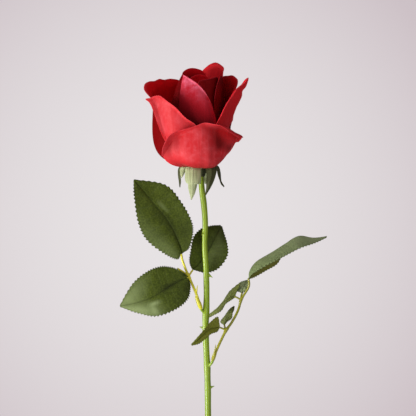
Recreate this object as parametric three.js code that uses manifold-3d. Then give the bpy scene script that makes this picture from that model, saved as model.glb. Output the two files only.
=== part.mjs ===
// A red rose standing in a plain glazed bud vase. Millimetres, +Z up, seen from -Y.
// The origin is the centre of the vase's foot. The rose is an artificial one: thin shaped petals
// round a closed bud, cut leaves on two moulded stalks, and the stalks pushed on pegs of the stem.

import * as THREE from "three";
import { mergeVertices } from "three/addons/utils/BufferGeometryUtils.js";
import Module from "manifold-3d";

const wasm = await Module();
wasm.setup();

// ---- driving dimensions ----------------------------------------------------------------------

const PETAL_THICKNESS = 0.8;
const LEAF_THICKNESS = 0.7;
const SEPAL_THICKNESS = 0.8;
const GAP = 0.3; // between pieces that touch
const SLIVER = 0.06; // facets and edges finer than this are merged away

const NECK_LEAN = -1.6; // the stem leans on the left of the vase's neck
const BLOOM_AT = new THREE.Vector3(-5, 0, 359.5); // where the petals' claws meet, in the rose's frame

const CLAW_RADIUS = 5; // the ring that the petals grow from
const CLAW_SPREAD = 0.75; // how much of a petal's spread its claw takes up
const SHORT_LIP = 3; // a lip shorter than this turns out less

const STEM_RADIUS = 2.2;
const STEM_TOP_RADIUS = 2.0;
const STALK_RADIUS = 1.3;
const TWIG_RADIUS = 0.9;
const SOCKET_RADIUS = 2.3;
const SOCKET_LENGTH = 7;
const SOCKET_BORE = 1.6;
const SOCKET_DEPTH = 4.5;
const PEG_RADIUS = 1.15;

const VASE_HEIGHT = 168;
const VASE_SIDES = 36;

// ---- finishes ----------------------------------------------------------------------------------

const finish = (color, roughness) => new THREE.MeshStandardMaterial({ color, roughness, metalness: 0 });
const PETAL_RED = finish(0xb3122a, 0.6);
const LEAF_GREEN = finish(0x4b5e28, 0.6);
const STEM_GREEN = finish(0x86a338, 0.4);
const STALK_YELLOW = finish(0xb9ab3c, 0.4);
const SEPAL_GREEN = finish(0x7f8a4c, 0.6);
const GLAZE_WHITE = finish(0xe9e4da, 0.25);

// ---- petals --------------------------------------------------------------------------------------
// A petal is a fan of curves that rise from the claw ring to its rim. Each rim point is
// [across, depth, height, lip, cup]: where the rim runs, how long the lip is that rolls outward
// there, and how round the curve below it is, from 0 for a straight one to 1 for a full cup.

const PETALS = [
  { // low front petal, its tip drawn out to the right
    belly: 1, rise: 0.5, sag: 11, turn: 95, columns: 19,
    rim: [
      [-28, -25, 5.5, 1.5, 0.7], [-26.5, -29, 12, 4, 0.7], [-21.5, -32, 19.5, 5, 0.8],
      [-12, -34, 23.5, 4, 0.95], [-2.5, -35, 26.5, 3, 1], [3, -35, 28, 3, 1],
      [9.5, -34, 27, 3.5, 0.95], [15.5, -31, 25.5, 4.5, 0.85], [22.5, -26, 23, 5.5, 0.65],
      [29.5, -20, 19, 3, 0.42], [26.5, -15, 16.5, 1.5, 0.42],
    ],
  },
  { // left outer petal, crest falling from the upper left to the middle
    belly: -2, rise: 0.5, sag: 2, turn: 50, columns: 17,
    rim: [
      [-1.5, -24, 18, 3, 1], [-3.5, -27, 26.5, 4, 1], [-10, -28.5, 31.5, 4, 0.95],
      [-16, -29, 37, 4, 0.9], [-22.5, -28, 42.5, 4, 0.85], [-28.5, -25, 47.5, 5, 0.75],
      [-33, -21.5, 47.5, 7, 0.65], [-35.5, -18.5, 46.5, 9, 0.55], [-39.5, -16.5, 45.5, 11, 0.55],
      [-36, -15, 44, 9, 0.55],
    ],
  },
  { // left back petal, wide and flared
    belly: -2, rise: 0.5, sag: 1, turn: 62, power: 1.2, columns: 19,
    rim: [
      [-21.5, -17, 36.5, 2, 0.9], [-27.5, -14.5, 41, 4, 0.95], [-34, -10, 45.5, 8, 0.95],
      [-39, -4.5, 50, 10, 0.95], [-41, 0.5, 54, 10, 0.95], [-40.5, 5, 58, 10, 1],
      [-37.5, 9, 60, 9, 1], [-34, 12.5, 60.5, 8, 1], [-30.5, 16, 62, 8, 1], [-27, 19, 61.5, 8, 1],
      [-22, 23, 63, 8, 1], [-16, 26, 62, 8, 1], [-10.5, 28, 57, 6, 1], [-5, 28, 49, 4, 0.9],
    ],
  },
  { // right back petal
    belly: -1, rise: 0.5, sag: 1, turn: 62, power: 1.2, columns: 16,
    rim: [
      [17, -12, 39.5, 3, 0.8], [21.5, -8, 47, 4, 0.8], [25, -3, 54.5, 5, 0.8], [26.5, 3, 60, 6, 0.8],
      [24.5, 8, 63, 6, 0.85], [22.5, 12.5, 64.5, 6, 0.9], [19.5, 17, 64.5, 6, 1],
      [16, 21, 64.5, 6, 1], [10, 26, 62, 5, 1], [3.5, 29, 56, 4, 1], [-1, 28, 47, 2, 0.9],
    ],
  },
  { // right outer petal, its tip a thin curl
    belly: -3, rise: 0.5, sag: 1.5, turn: 65, power: 1.3, columns: 17,
    rim: [
      [7, -23, 16.5, 3, 0.95], [11, -26, 27.5, 5, 0.95], [13.5, -26.5, 32.5, 6, 0.9],
      [16.5, -26, 38, 6, 0.8], [20, -24, 44, 7, 0.75], [23.5, -21, 49, 8, 0.7],
      [26, -18, 53, 8, 0.65], [28.5, -16, 55.5, 8, 0.6], [31, -14.5, 57.5, 8, 0.55],
      [33.5, -13, 61, 9, 0.55], [32.5, -11, 56.5, 8, 0.55],
    ],
  },
  { // low back petal
    belly: 1, rise: 0.5, sag: 2, turn: 110, columns: 14,
    rim: [
      [-25.5, 22, 19.5, 3, 0.75], [-28, 27, 30, 5, 0.75], [-24.5, 32, 40, 6, 0.8],
      [-15.5, 35, 45, 6, 0.85], [-4, 37, 47.5, 6, 0.85], [8, 36, 46, 6, 0.85],
      [17, 32, 40.5, 6, 0.8], [21, 27, 31.5, 5, 0.75], [19.5, 21, 19.5, 3, 0.75],
    ],
  },
  { // the inner cone's left petal
    belly: 15, rise: 0.62, sag: 0.5, turn: 60, columns: 15,
    rim: [
      [-3, -12, 49, 0.8, 0.1], [-7, -10, 58.5, 1, 0.1], [-9.5, -7, 64.5, 1.5, 0.4],
      [-11, -2.5, 66.5, 2, 0.9], [-8.5, 3, 68.5, 3, 1], [-5, 8, 69.5, 3, 1], [-1.5, 12.5, 69, 3, 1],
      [1.5, 15, 67.5, 2.5, 1], [4.5, 16.5, 63, 2, 0.9], [7, 15.5, 55.5, 1, 0.7],
    ],
  },
  { // the inner cone's front petal, a pointed one that wraps to the right
    belly: 9, rise: 0.62, sag: 0.5, turn: 55, columns: 14,
    rim: [
      [-12, -14.5, 63, 1, 1], [-8.5, -17, 61.5, 1.5, 1], [-4.5, -19, 59, 2, 1],
      [-0.5, -20.5, 56, 2, 1], [4, -21.5, 51.5, 2, 1], [7, -21.5, 47, 2, 1], [9.5, -20.5, 42, 2, 1],
      [10.5, -19, 36.5, 2, 1], [11, -17, 28.5, 1.5, 1], [9.5, -15, 20, 1, 1],
    ],
  },
  { // the inner cone's back petal, the highest of all
    belly: 1, rise: 0.5, sag: 0.5, turn: 80, columns: 13,
    rim: [
      [-3, 15, 58.5, 1, 1], [-1, 17.5, 64.5, 2, 1], [1, 18.5, 68.5, 3, 1], [3.5, 19, 71, 4, 1],
      [6.5, 19, 73, 4.5, 1], [10.5, 17.5, 74, 4.5, 1], [14, 15, 72.5, 4, 1], [16.5, 11.5, 70, 3, 1],
      [16, 8, 66.5, 2, 1], [15.5, 4, 60.5, 1.5, 1],
    ],
  },
  { // the inner cone's right petal
    belly: 1, rise: 0.5, sag: 0.5, turn: 60, columns: 10,
    rim: [
      [9.5, -15, 44.5, 1, 1], [11, -13, 54, 1, 1], [13, -9.5, 61, 1.2, 1], [14.5, -4.5, 63, 1.5, 1],
      [15.5, 1, 62.5, 1.5, 1], [16, 6, 58, 1, 1], [15, 9, 48, 0.8, 1],
    ],
  },
  { // bud, front
    belly: 1, rise: 0.5, sag: 0.5, turn: 60, columns: 10,
    rim: [
      [-3, -11, 47, 0.8, 1], [-2.5, -10.5, 55.5, 1, 1], [-1, -11, 59, 1.5, 1],
      [3.5, -11.5, 60, 1.5, 1], [8, -10, 61, 1.5, 1], [11.5, -5.5, 62, 1.2, 1], [12.5, 0, 59, 1, 1],
      [12, 4, 50, 0.8, 1],
    ],
  },
  { // bud, back
    belly: 1, rise: 0.5, sag: 0.5, turn: 60, columns: 10,
    rim: [
      [7, 8, 50, 0.8, 1], [7, 9.5, 59.5, 1, 1], [3.5, 11, 64, 1.5, 1], [-1.5, 10.5, 65, 1.5, 1],
      [-6, 6, 63.5, 1.5, 1], [-8, 0, 60.5, 1.2, 1], [-7.5, -6, 53, 1, 1], [-5.5, -9.5, 42, 0.8, 1],
    ],
  },
  { // bud, the closed middle: right turn
    belly: 1, rise: 0.5, sag: 0.5, turn: 60, columns: 9,
    rim: [
      [-2.5, -5.5, 48.5, 0.8, 1], [-2, -6, 57, 1, 1], [1.5, -6.5, 58.5, 1, 1], [5, -4, 59, 1, 1],
      [7, 1, 59, 1, 1], [6, 5.5, 59.5, 1, 1], [1.5, 7.5, 59, 1, 1],
    ],
  },
  { // bud, the closed middle: left turn
    belly: 1, rise: 0.5, sag: 0.5, turn: 60, columns: 9,
    rim: [
      [4, 5.5, 57, 0.8, 1], [1, 6, 58.5, 1, 1], [-2.5, 4, 58.5, 1, 1], [-3, -1, 57.5, 1, 1],
      [-0.5, -3.5, 56.5, 1, 1], [2, -3, 50, 0.8, 1],
    ],
  },
];
const PETAL_ROWS = 6; // steps from claw to lip
const LIP_ROWS = 2;
const LIP_SUBSTEPS = 6;

// ---- leaves and sepals ----------------------------------------------------------------------------
// A blade hangs on three curves from its base to its tip: the midrib and its two margins.

const LEAVES = {
  leaf_left_upper: {
    teeth: 13, puff: 0.05,
    rib: [[-18.5, 0, 295], [-20.5, -1, 301.5], [-24.5, -3, 311], [-30.5, -5, 321], [-38, -7, 330],
      [-45, -8, 338.5], [-53, -8, 348]],
    left: [[-19.5, 0, 294], [-22.5, -1, 291.5], [-31, -2, 295.5], [-43.5, -5, 305.5], [-49.5, -8, 318],
      [-52, -10, 334.5], [-53.2, -8, 347.5]],
    right: [[-18, 0, 295.5], [-14, -2, 299.5], [-11.5, -3, 309.5], [-12.5, -4, 318.5],
      [-19.5, -6, 331.5], [-31, -7, 344], [-52.5, -8, 348.2]],
  },
  leaf_left_lower: {
    teeth: 13, puff: 0.05,
    rib: [[-14.5, -4.8, 277.8], [-18.5, -5.5, 276.5], [-27.5, -7, 271.5], [-34.5, -8, 267],
      [-43, -8, 262.5], [-53, -7, 259.5], [-63, -5, 257.5]],
    left: [[-13.8, -5.2, 277], [-13, -6.5, 271.5], [-15, -10, 263], [-23, -13, 256], [-37, -14, 251],
      [-50, -11, 253], [-63, -5.2, 257]],
    right: [[-14.5, -4.8, 279], [-19.5, -4, 282], [-26, -2, 284.5], [-34, -1, 285], [-43.5, -1.5, 281.5],
      [-54, -3, 273], [-63.2, -4.8, 258]],
  },
  leaf_left_back: {
    teeth: 10, puff: 0.05,
    rib: [[-11, 3.4, 283.5], [-6, 5.5, 288], [-1.5, 7, 293.5], [2, 9, 299.5], [5.5, 12, 307],
      [8, 16.5, 312.5], [9.5, 22, 316]],
    left: [[-11.6, 3.4, 284], [-13, 3.4, 289.5], [-12, 4, 297], [-10, 6, 306.5], [-4.5, 10, 312.5],
      [3, 16, 315], [9, 22, 316.3]],
    right: [[-10, 3.6, 283], [-1.5, 4.6, 281.5], [7, 4, 284.5], [13.5, 5, 293.5], [13.5, 8, 302.5],
      [11, 15, 311.5], [10, 22, 315.6]],
  },
  leaf_right_low_front: {
    teeth: 8, puff: 0.04,
    rib: [[8.5, 0, 242], [5, -4, 241.5], [0.5, -9, 240.5], [-4, -15, 237], [-8, -20, 233.5],
      [-11.5, -23, 231]],
    left: [[8.3, -0.5, 241.2], [6.5, -8, 239.5], [2, -13, 238], [-2, -17, 235], [-6.5, -21, 231.8],
      [-11.5, -23, 230.5]],
    right: [[8.6, 0, 243], [7, 0, 249], [2.5, -5, 246.5], [-1.5, -11, 242.5], [-6, -18, 237.5],
      [-11.8, -23, 231.2]],
  },
  leaf_right_low_back: {
    teeth: 6, puff: 0.04,
    rib: [[11.8, 2.4, 243.4], [12.5, 4.5, 246.5], [14, 7.5, 250], [16, 10, 253], [17.5, 12.5, 255],
      [19, 14, 256.5]],
    left: [[11.2, 2.4, 243.6], [9.5, 3, 245.5], [12, 6, 249], [14, 9, 252.5], [16.5, 12, 255.2],
      [18.8, 14, 256.8]],
    right: [[12.3, 2.2, 243.9], [14, 2, 246], [17, 3.4, 248.5], [17.7, 7, 252], [18.5, 11, 254.3],
      [19.3, 14, 256.2]],
  },
  leaf_right_mid_front: {
    teeth: 8, puff: 0.04,
    rib: [[19.5, 4.5, 263.8], [17, 6, 263.5], [13.5, 8.5, 261.5], [8.5, 10.5, 256.5], [3.5, 12, 251.5],
      [-1.5, 12.5, 247.5]],
    left: [[19.3, 4, 263.2], [16.5, 4, 261], [12.5, 5, 258.5], [9, 7, 253.5], [3.5, 10, 250],
      [-1.5, 12.3, 247.2]],
    right: [[19.9, 4.5, 265], [23.3, 6.5, 273.2], [16, 10, 267.5], [13, 13, 262.3], [6.5, 14, 255.3],
      [-1.7, 12.7, 248]],
  },
  leaf_right_mid_back: {
    teeth: 6, puff: 0.04,
    rib: [[25, 4.8, 266.8], [25.3, 10, 269], [26, 15, 271], [27.2, 20, 273], [28.7, 25, 275]],
    left: [[24.5, 5, 266.5], [23.8, 10, 269.7], [24, 14, 272.2], [26, 19, 274.6], [28.4, 25, 275.4]],
    right: [[25.6, 4.8, 267], [27.3, 9, 268], [28.2, 13, 269.8], [28.9, 18, 272], [29.2, 25, 274.6]],
  },
  leaf_right_end: {
    teeth: 14, puff: 0.05,
    rib: [[29.3, 0, 277.5], [30.5, -1, 283.5], [36.5, -2, 291], [46.5, -2, 298], [57, -1, 303.5],
      [67, 0, 308.5], [85.5, 2, 307.5]],
    left: [[29.5, -0.8, 277.3], [33, -8, 281.5], [39, -13, 286], [50.5, -16, 292.5], [60, -14, 299],
      [72.5, -8, 302.5], [85.5, 1.7, 307]],
    right: [[29.2, 0.8, 277], [31.5, 8, 276], [39.5, 13, 281], [50.5, 17, 287.5], [60.5, 15, 296],
      [72.5, 10, 303.5], [85.7, 2.3, 307.7]],
  },
};
const TOOTH_DEPTH = 1.1;
const TOOTH_PEAK = 0.75; // a tooth rises slowly towards the leaf's tip, then drops

const SEPALS = [
  { // left, seen edge on
    rib: [[-5.5, 0, 353.5], [-13, -4, 353.9], [-18, -5.5, 354.2], [-19.8, -6, 351.5], [-20.3, -6, 347.5],
      [-20, -5, 343]],
    left: [[-5.5, 1.5, 353.8], [-14, 2, 355], [-19, 0, 355.5], [-21, -2, 352.5], [-20.8, -4, 347.5],
      [-20.4, -5, 343]],
    right: [[-5, -1.5, 353.4], [-11.5, -8, 353], [-16, -9, 352.8], [-18.2, -9, 350], [-19, -7.5, 346.5],
      [-19.7, -5, 343.2]],
  },
  { // front left, the broad one
    rib: [[-5, -2.5, 353.4], [-9.5, -10, 353.4], [-10.5, -13, 350], [-11, -14, 346.5], [-11, -14, 343],
      [-11.5, -12.5, 337], [-11.6, -10, 333.5]],
    left: [[-6, -2, 353.4], [-14.5, -7, 353.4], [-16.5, -10, 350.8], [-16, -11.5, 347.5],
      [-13.6, -12, 343.7], [-13.1, -11.5, 337.5], [-12, -10, 333.5]],
    right: [[-4, -3, 353.4], [-4.5, -9, 353.2], [-5, -11, 350], [-6, -12, 345.5], [-8.6, -12.5, 342.7],
      [-9.6, -12, 337], [-11.2, -10, 333.5]],
  },
  { // front right
    rib: [[-2, -2.5, 353.4], [1, -8, 353.4], [2, -11, 350.5], [2, -12, 347], [1, -11.5, 343.5],
      [-0.5, -10.5, 339.5], [-2, -9, 337.5]],
    left: [[-2.8, -3, 353.4], [-3, -8, 353.2], [-2.5, -9.5, 350], [-1.6, -10.5, 346.5],
      [-1.2, -10.6, 343], [-1.3, -10, 339.5], [-2.3, -9, 337.6]],
    right: [[-1.6, -1.6, 353.6], [4.5, -4, 353.6], [5.6, -7.5, 351.3], [4.7, -9, 348], [2.8, -9.5, 344],
      [0.4, -10, 340], [-1.7, -9, 337.4]],
  },
  { // far right, curled up at its end
    rib: [[-1.5, 0.5, 353.6], [3.5, 1.5, 354.2], [7, 2, 354.4], [8.8, 2, 352], [9.4, 1, 348],
      [10.2, 0, 345.2], [11.7, -1, 343.2]],
    left: [[-1.6, -1, 353.4], [3, -3, 353.4], [6, -3, 353], [7.6, -3, 350.5], [8.5, -2.5, 347],
      [9.5, -1.8, 344.4], [11.6, -1.4, 342.8]],
    right: [[-1.8, 2, 353.8], [3.5, 5.5, 354.8], [8, 6, 355.2], [9.3, 5, 353], [9.8, 3, 349.5],
      [10.6, 1.5, 346], [11.8, -0.6, 343.7]],
  },
  { // back
    rib: [[-3.8, 2, 353.4], [-3, 10, 353.8], [-3, 14, 350.5], [-3.5, 15, 346], [-3.5, 13, 340.5]],
    left: [[-4.8, 1.8, 353.4], [-8, 8, 353.8], [-8.5, 11.5, 350.5], [-6.5, 13, 345.5], [-4, 13, 340.3]],
    right: [[-2.8, 2, 353.4], [2, 8, 353.8], [3, 11.5, 350.5], [0.5, 13, 345.5], [-3, 13, 340.3]],
  },
];

// ---- stem, stalks and vase ------------------------------------------------------------------------

const STEM_FOOT = [4.6, 0, 6.3];
const STEM_CALYX_END = [-3.8, 0, 350];
const STEM_ROUTE = [STEM_FOOT, [2.4, 0, 90], [0.3, 0, 168], [-0.1, 0, 196], [-0.5, 0, 211.5],
  [-1.1, 0, 224.5], [-1.6, 0, 236.5], [-1.5, 0, 249], [-0.9, 0, 264], [-1.3, 0, 283.5], [-2, 0, 301.5],
  [-2.1, 0, 319.5], [-2.9, 0, 335], STEM_CALYX_END];
const STEM_STEPS = 44;
const STEM_THICK_END = 300; // the stem is a little thinner above this height
const THORNS = [ // foot on the stem's axis and tip
  { foot: [-1, 0, 281], tip: [3.8, -0.8, 277.2], radius: 1.3 },
  { foot: [-1.5, 0, 240.5], tip: [-5.6, -0.5, 242.6], radius: 1.2 },
  { foot: [-0.1, 0, 197.5], tip: [3.9, -0.6, 199.6], radius: 1.2 },
  { foot: [-2, 0, 311], tip: [-4.6, -2.6, 308.6], radius: 1.1 },
];

const STALKS = {
  left_stalk: {
    peg: [-1.3, 0, 251.2],
    socket: { at: [-4.9, -2.5, 255.2], towards: [-9, -3.6, 265.5] },
    route: [[-6.9, -3.1, 260], [-9, -3.4, 266], [-11, -2.6, 271.5], [-14.5, -1, 278], [-17, 0, 285.5],
      [-18.4, 0, 293.2]],
    twigs: [
      [[-14.5, -1, 278], [-13, 1, 280.6], [-11.4, 3, 282.7]],
      [[-14.5, -1, 278], [-14.7, -2.6, 278], [-14.7, -4, 277.9]],
      [[-14.5, -1, 278], [-18, 1.5, 281], [-22, 3, 283.6]],
    ],
    stipules: [{ foot: [-8.4, -3.4, 265], tip: [-7.2, -4.6, 271.2], radius: 1.1 }],
  },
  right_stalk: {
    peg: [-0.6, 0, 212.8],
    socket: { at: [2.9, -3.1, 217.2], towards: [6, -2.6, 226] },
    route: [[4.6, -2.9, 222], [8, -1.6, 228.5], [11, -0.5, 234.5], [13.7, 0, 240], [18, 1, 246],
      [21.7, 2, 252], [23.4, 3, 257.5], [24.4, 3, 262], [27, 2, 266], [29.4, 1, 270.5],
      [29.4, 0, 275.6]],
    twigs: [
      [[13.7, 0, 240], [11.5, 0, 241.2], [9.2, 0, 242]],
      [[13.7, 0, 240], [12.4, 1.4, 241.4], [11.9, 2.1, 242.6]],
      [[24.3, 3, 261.4], [22, 3.8, 263.2], [20.2, 4.2, 263.8]],
      [[24.4, 3, 262], [24.4, 4, 264.4], [24.8, 4.5, 265.9]],
    ],
    stipules: [
      { foot: [4.2, -3, 220.5], tip: [4.4, -4.6, 229], radius: 1.4 },
      { foot: [6, -2.6, 224], tip: [9.2, -3.2, 229.6], radius: 1.1 },
    ],
  },
};
const STALK_STEP_LENGTH = 3.2;

// Outer radius at each height, then the bore: a round belly, a slim neck and a small flared lip.
const VASE_OUTSIDE = [[25, 0], [27, 1.2], [29.5, 8], [33, 22], [34.8, 38], [33.6, 54], [28.8, 70],
  [21.5, 86], [15.6, 102], [12.2, 120], [11, 138], [11.2, 152], [12.6, 162], [14.2, 166.6],
  [13.6, VASE_HEIGHT]];
const VASE_INSIDE = [[11.6, 167.6], [9.6, 165], [6.2, 158], [4.6, 148], [4.2, 136], [5.6, 120],
  [9.6, 106], [16, 90], [24, 74], [29.2, 58], [30.4, 38], [28.4, 22], [22, 9], [12, 6]];

// ---- helpers -----------------------------------------------------------------------------------

const vec = (point) => new THREE.Vector3(...point);
const mix = (a, b, f) => a + (b - a) * f;

/** Catmull-Rom spline through rows of numbers, read at f from 0 to 1. */
function readSpline(rows, f) {
  const last = rows.length - 1;
  const place = Math.min(f * last, last - 1e-9);
  const i = Math.floor(place);
  const t = place - i;
  const before = i > 0 ? rows[i - 1] : rows[0].map((v, k) => 2 * v - rows[1][k]);
  const after = i < last - 1 ? rows[i + 2] : rows[last].map((v, k) => 2 * v - rows[last - 1][k]);
  return rows[i].map((b, k) => {
    const [a, c, d] = [before[k], rows[i + 1][k], after[k]];
    const cubic = (3 * b - a - 3 * c + d) * t ** 3;
    return 0.5 * (2 * b + (c - a) * t + (2 * a - 5 * b + 4 * c - d) * t ** 2 + cubic);
  });
}

/** A closed mesh as a solid that can be joined and cut. */
function solid(geometry) {
  const bare = new THREE.BufferGeometry();
  bare.setAttribute("position", geometry.getAttribute("position"));
  if (geometry.index) bare.setIndex(geometry.index);
  const merged = mergeVertices(bare, 1e-4);
  return new wasm.Manifold(new wasm.Mesh({
    numProp: 3,
    vertProperties: new Float32Array(merged.getAttribute("position").array),
    triVerts: new Uint32Array(merged.index.array),
  }));
}

/** A joined or cut solid as a geometry again. */
function geometryOf(body) {
  const { vertProperties, triVerts } = body.getMesh();
  const geometry = new THREE.BufferGeometry();
  geometry.setAttribute("position", new THREE.BufferAttribute(vertProperties, 3));
  geometry.setIndex(new THREE.BufferAttribute(triVerts, 1));
  geometry.computeVertexNormals();
  return geometry;
}

/** Solids joined as one, with any pocket that they enclose filled and loose chips dropped. */
function fuse(bodies) {
  const joined = bodies.reduce((sum, body) => sum.add(body)).asOriginal().simplify(SLIVER);
  return joined.decompose().reduce((main, shell) => (shell.volume() > main.volume() ? shell : main));
}

/** A sheet of rows x columns points, given half its thickness to each side, as a closed solid. */
function sheetSolid(grid, thickness) {
  const rows = grid.length;
  const columns = grid[0].length;
  const at = (r, c) => grid[Math.min(Math.max(r, 0), rows - 1)][Math.min(Math.max(c, 0), columns - 1)];
  const faces = [[], []];
  for (let r = 0; r < rows; r += 1) {
    for (let c = 0; c < columns; c += 1) {
      const along = at(r, c + 1).clone().sub(at(r, c - 1));
      const up = at(r + 1, c).clone().sub(at(r - 1, c));
      const half = along.cross(up).normalize().multiplyScalar(thickness / 2);
      faces[0].push(at(r, c).clone().add(half));
      faces[1].push(at(r, c).clone().sub(half));
    }
  }
  const corners = [...faces[0], ...faces[1]];
  const under = rows * columns;
  const triangles = [];
  const quad = (a, b, c, d) => triangles.push(a, b, c, a, c, d);
  for (let r = 0; r < rows - 1; r += 1) {
    for (let c = 0; c < columns - 1; c += 1) {
      const [a, b] = [r * columns + c, r * columns + c + 1];
      const [d, e] = [a + columns, b + columns];
      quad(a, b, e, d);
      triangles.push(a + under, e + under, b + under, a + under, d + under, e + under);
    }
  }
  for (let c = 0; c < columns - 1; c += 1) {
    const top = (rows - 1) * columns + c;
    quad(c, c + under, c + 1 + under, c + 1);
    quad(top, top + 1, top + 1 + under, top + under);
  }
  for (let r = 0; r < rows - 1; r += 1) {
    const [a, d] = [r * columns, (r + 1) * columns];
    const [b, e] = [a + columns - 1, d + columns - 1];
    quad(a, d, d + under, a + under);
    quad(b, b + under, e + under, e);
  }
  const geometry = new THREE.BufferGeometry().setFromPoints(corners);
  geometry.setIndex(triangles);
  return solid(geometry);
}

/** A round bar along a route. */
function barSolid(route, radius, sides, steps) {
  const circle = new THREE.Shape();
  for (let s = 0; s < sides; s += 1) {
    const angle = (2 * Math.PI * s) / sides;
    const [x, y] = [radius * Math.cos(angle), radius * Math.sin(angle)];
    if (s === 0) circle.moveTo(x, y);
    else circle.lineTo(x, y);
  }
  circle.closePath();
  const path = new THREE.CatmullRomCurve3(route.map(vec), false, "centripetal");
  return solid(new THREE.ExtrudeGeometry(circle, { steps, extrudePath: path, curveSegments: 1 }));
}

/** A cone or cylinder from one point to another. */
function spikeSolid(foot, tip, footRadius, tipRadius, sides) {
  const [from, to] = [vec(foot), vec(tip)];
  const axis = to.clone().sub(from);
  const geometry = new THREE.CylinderGeometry(tipRadius, footRadius, axis.length(), sides);
  const turn = new THREE.Quaternion().setFromUnitVectors(new THREE.Vector3(0, 1, 0), axis.clone().normalize());
  geometry.applyQuaternion(turn);
  geometry.translate(...from.add(to).multiplyScalar(0.5));
  return solid(geometry);
}

/** A ball that rounds off a junction. */
function knobSolid(centre, radius) {
  const geometry = new THREE.SphereGeometry(radius, 8, 6);
  geometry.translate(...centre);
  return solid(geometry);
}

/** A shape of revolution about Z from a closed outline of [radius, height] points. */
function turnedSolid(outline, sides) {
  const profile = outline.map(([radius, height]) => new THREE.Vector2(radius, height));
  const geometry = new THREE.LatheGeometry(profile, sides);
  geometry.rotateX(Math.PI / 2);
  const body = solid(geometry);
  if (body.volume() > 0) return body;
  return solid(new THREE.LatheGeometry(profile.reverse(), sides).rotateX(Math.PI / 2));
}

// ---- the bloom -----------------------------------------------------------------------------------

/** The points of a petal, row by row from its claw to the end of its lip. */
function petalGrid({ rim, belly, rise, sag, turn, power = 1.5, columns }) {
  const lines = [];
  for (let c = 0; c < columns; c += 1) lines.push(readSpline(rim, c / (columns - 1)));
  const angles = lines.map(([x, y]) => Math.atan2(x, -y));
  for (let c = 1; c < columns; c += 1) {
    angles[c] -= 2 * Math.PI * Math.round((angles[c] - angles[c - 1]) / (2 * Math.PI));
  }
  const middle = angles[Math.floor(columns / 2)];
  const tallest = Math.max(...lines.map((line) => line[2]));
  const grid = Array.from({ length: PETAL_ROWS + LIP_ROWS + 1 }, () => []);
  lines.forEach(([x, y, height, lipLength, cup], c) => {
    const lip = Math.max(lipLength, 0.4);
    const radius = Math.hypot(x, y);
    const full = radius + belly;
    const low = [
      mix(mix(CLAW_RADIUS, radius, 1 / 3), full, cup),
      mix(height / 3, -sag, cup),
    ];
    const high = [
      mix(mix(CLAW_RADIUS, radius, 2 / 3), full, cup),
      mix((height * 2) / 3, height * rise, cup),
    ];
    const slope = new THREE.Vector2(radius - high[0], height - high[1]).normalize();
    const bend = THREE.MathUtils.degToRad(turn) * Math.min(lip / SHORT_LIP, 1);
    const lipLine = [new THREE.Vector2(0, 0)];
    const substeps = LIP_ROWS * LIP_SUBSTEPS;
    for (let s = 1; s <= substeps; s += 1) {
      const heading = bend * ((s - 0.5) / substeps) ** power;
      const step = new THREE.Vector2(
        Math.cos(heading) * slope.x + Math.sin(heading) * slope.y,
        Math.cos(heading) * slope.y - Math.sin(heading) * slope.x,
      ).multiplyScalar(lip / substeps);
      lipLine.push(lipLine[s - 1].clone().add(step));
    }
    const reach = lipLine.map((point) => point.dot(slope));
    const crest = lipLine[reach.indexOf(Math.max(...reach))];
    const tall = Math.max(height / tallest, 0.02);
    const end = [radius - crest.x, height - crest.y];
    high[0] -= crest.x * tall;
    high[1] -= crest.y * tall;
    const clawAngle = middle + (angles[c] - middle) * CLAW_SPREAD;
    const put = (row, r, z, angle) => {
      grid[row].push(new THREE.Vector3(r * Math.sin(angle), -r * Math.cos(angle), z));
    };
    for (let row = 0; row <= PETAL_ROWS; row += 1) {
      const v = row / PETAL_ROWS;
      const [a, b, d, e] = [(1 - v) ** 3, 3 * (1 - v) ** 2 * v, 3 * (1 - v) * v ** 2, v ** 3];
      const r = a * CLAW_RADIUS + b * low[0] + d * high[0] + e * end[0];
      const z = b * low[1] + d * high[1] + e * end[1];
      put(row, r, z, mix(clawAngle, angles[c], v * (2 - v)));
    }
    for (let row = 1; row <= LIP_ROWS; row += 1) {
      const point = lipLine[row * LIP_SUBSTEPS];
      put(PETAL_ROWS + row, end[0] + point.x, end[1] + point.y, angles[c]);
    }
  });
  return grid;
}

/** All petals, sunk in the small core that they grow from. */
function bloomSolid() {
  const core = turnedSolid([[0, -0.6], [5.7, -0.6], [6.7, 0.5], [6.9, 3], [5.6, 9], [3.4, 30], [0, 34]], 12);
  return fuse([core, ...PETALS.map((petal) => sheetSolid(petalGrid(petal), PETAL_THICKNESS))]);
}

// ---- leaves and calyx -----------------------------------------------------------------------------

/** The points of a blade, row by row from base to tip, with saw teeth on both margins. */
function bladeGrid({ rib, left, right, teeth, puff }) {
  const stops = [];
  for (let k = 0; k < teeth; k += 1) stops.push([k / teeth, 0], [(k + TOOTH_PEAK) / teeth, 1]);
  stops.push([1, 0]);
  return stops.map(([f, tooth]) => {
    const middle = vec(readSpline(rib, f));
    const along = vec(readSpline(rib, Math.min(f + 0.02, 1))).sub(vec(readSpline(rib, Math.max(f - 0.02, 0))));
    const row = [];
    for (const [margin, side] of [[left, -1], [right, 1]]) {
      const edge = vec(readSpline(margin, f));
      const across = edge.clone().sub(middle);
      const width = across.length();
      const reach = tooth * Math.min(TOOTH_DEPTH, width * 0.25);
      edge.addScaledVector(across.clone().normalize(), reach);
      const lift = along.clone().cross(across).normalize().multiplyScalar(-side * puff * width);
      const half = middle.clone().lerp(edge, 0.5).add(lift);
      if (side < 0) row.push(edge, half, middle);
      else row.push(half, edge);
    }
    return row;
  });
}

/** A sepal's points: a plain blade with a smooth edge. */
function sepalGrid({ rib, left, right }) {
  const rows = 8;
  return Array.from({ length: rows + 1 }, (_, r) => {
    return [left, rib, right].map((line) => vec(readSpline(line, r / rows)));
  });
}

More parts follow.
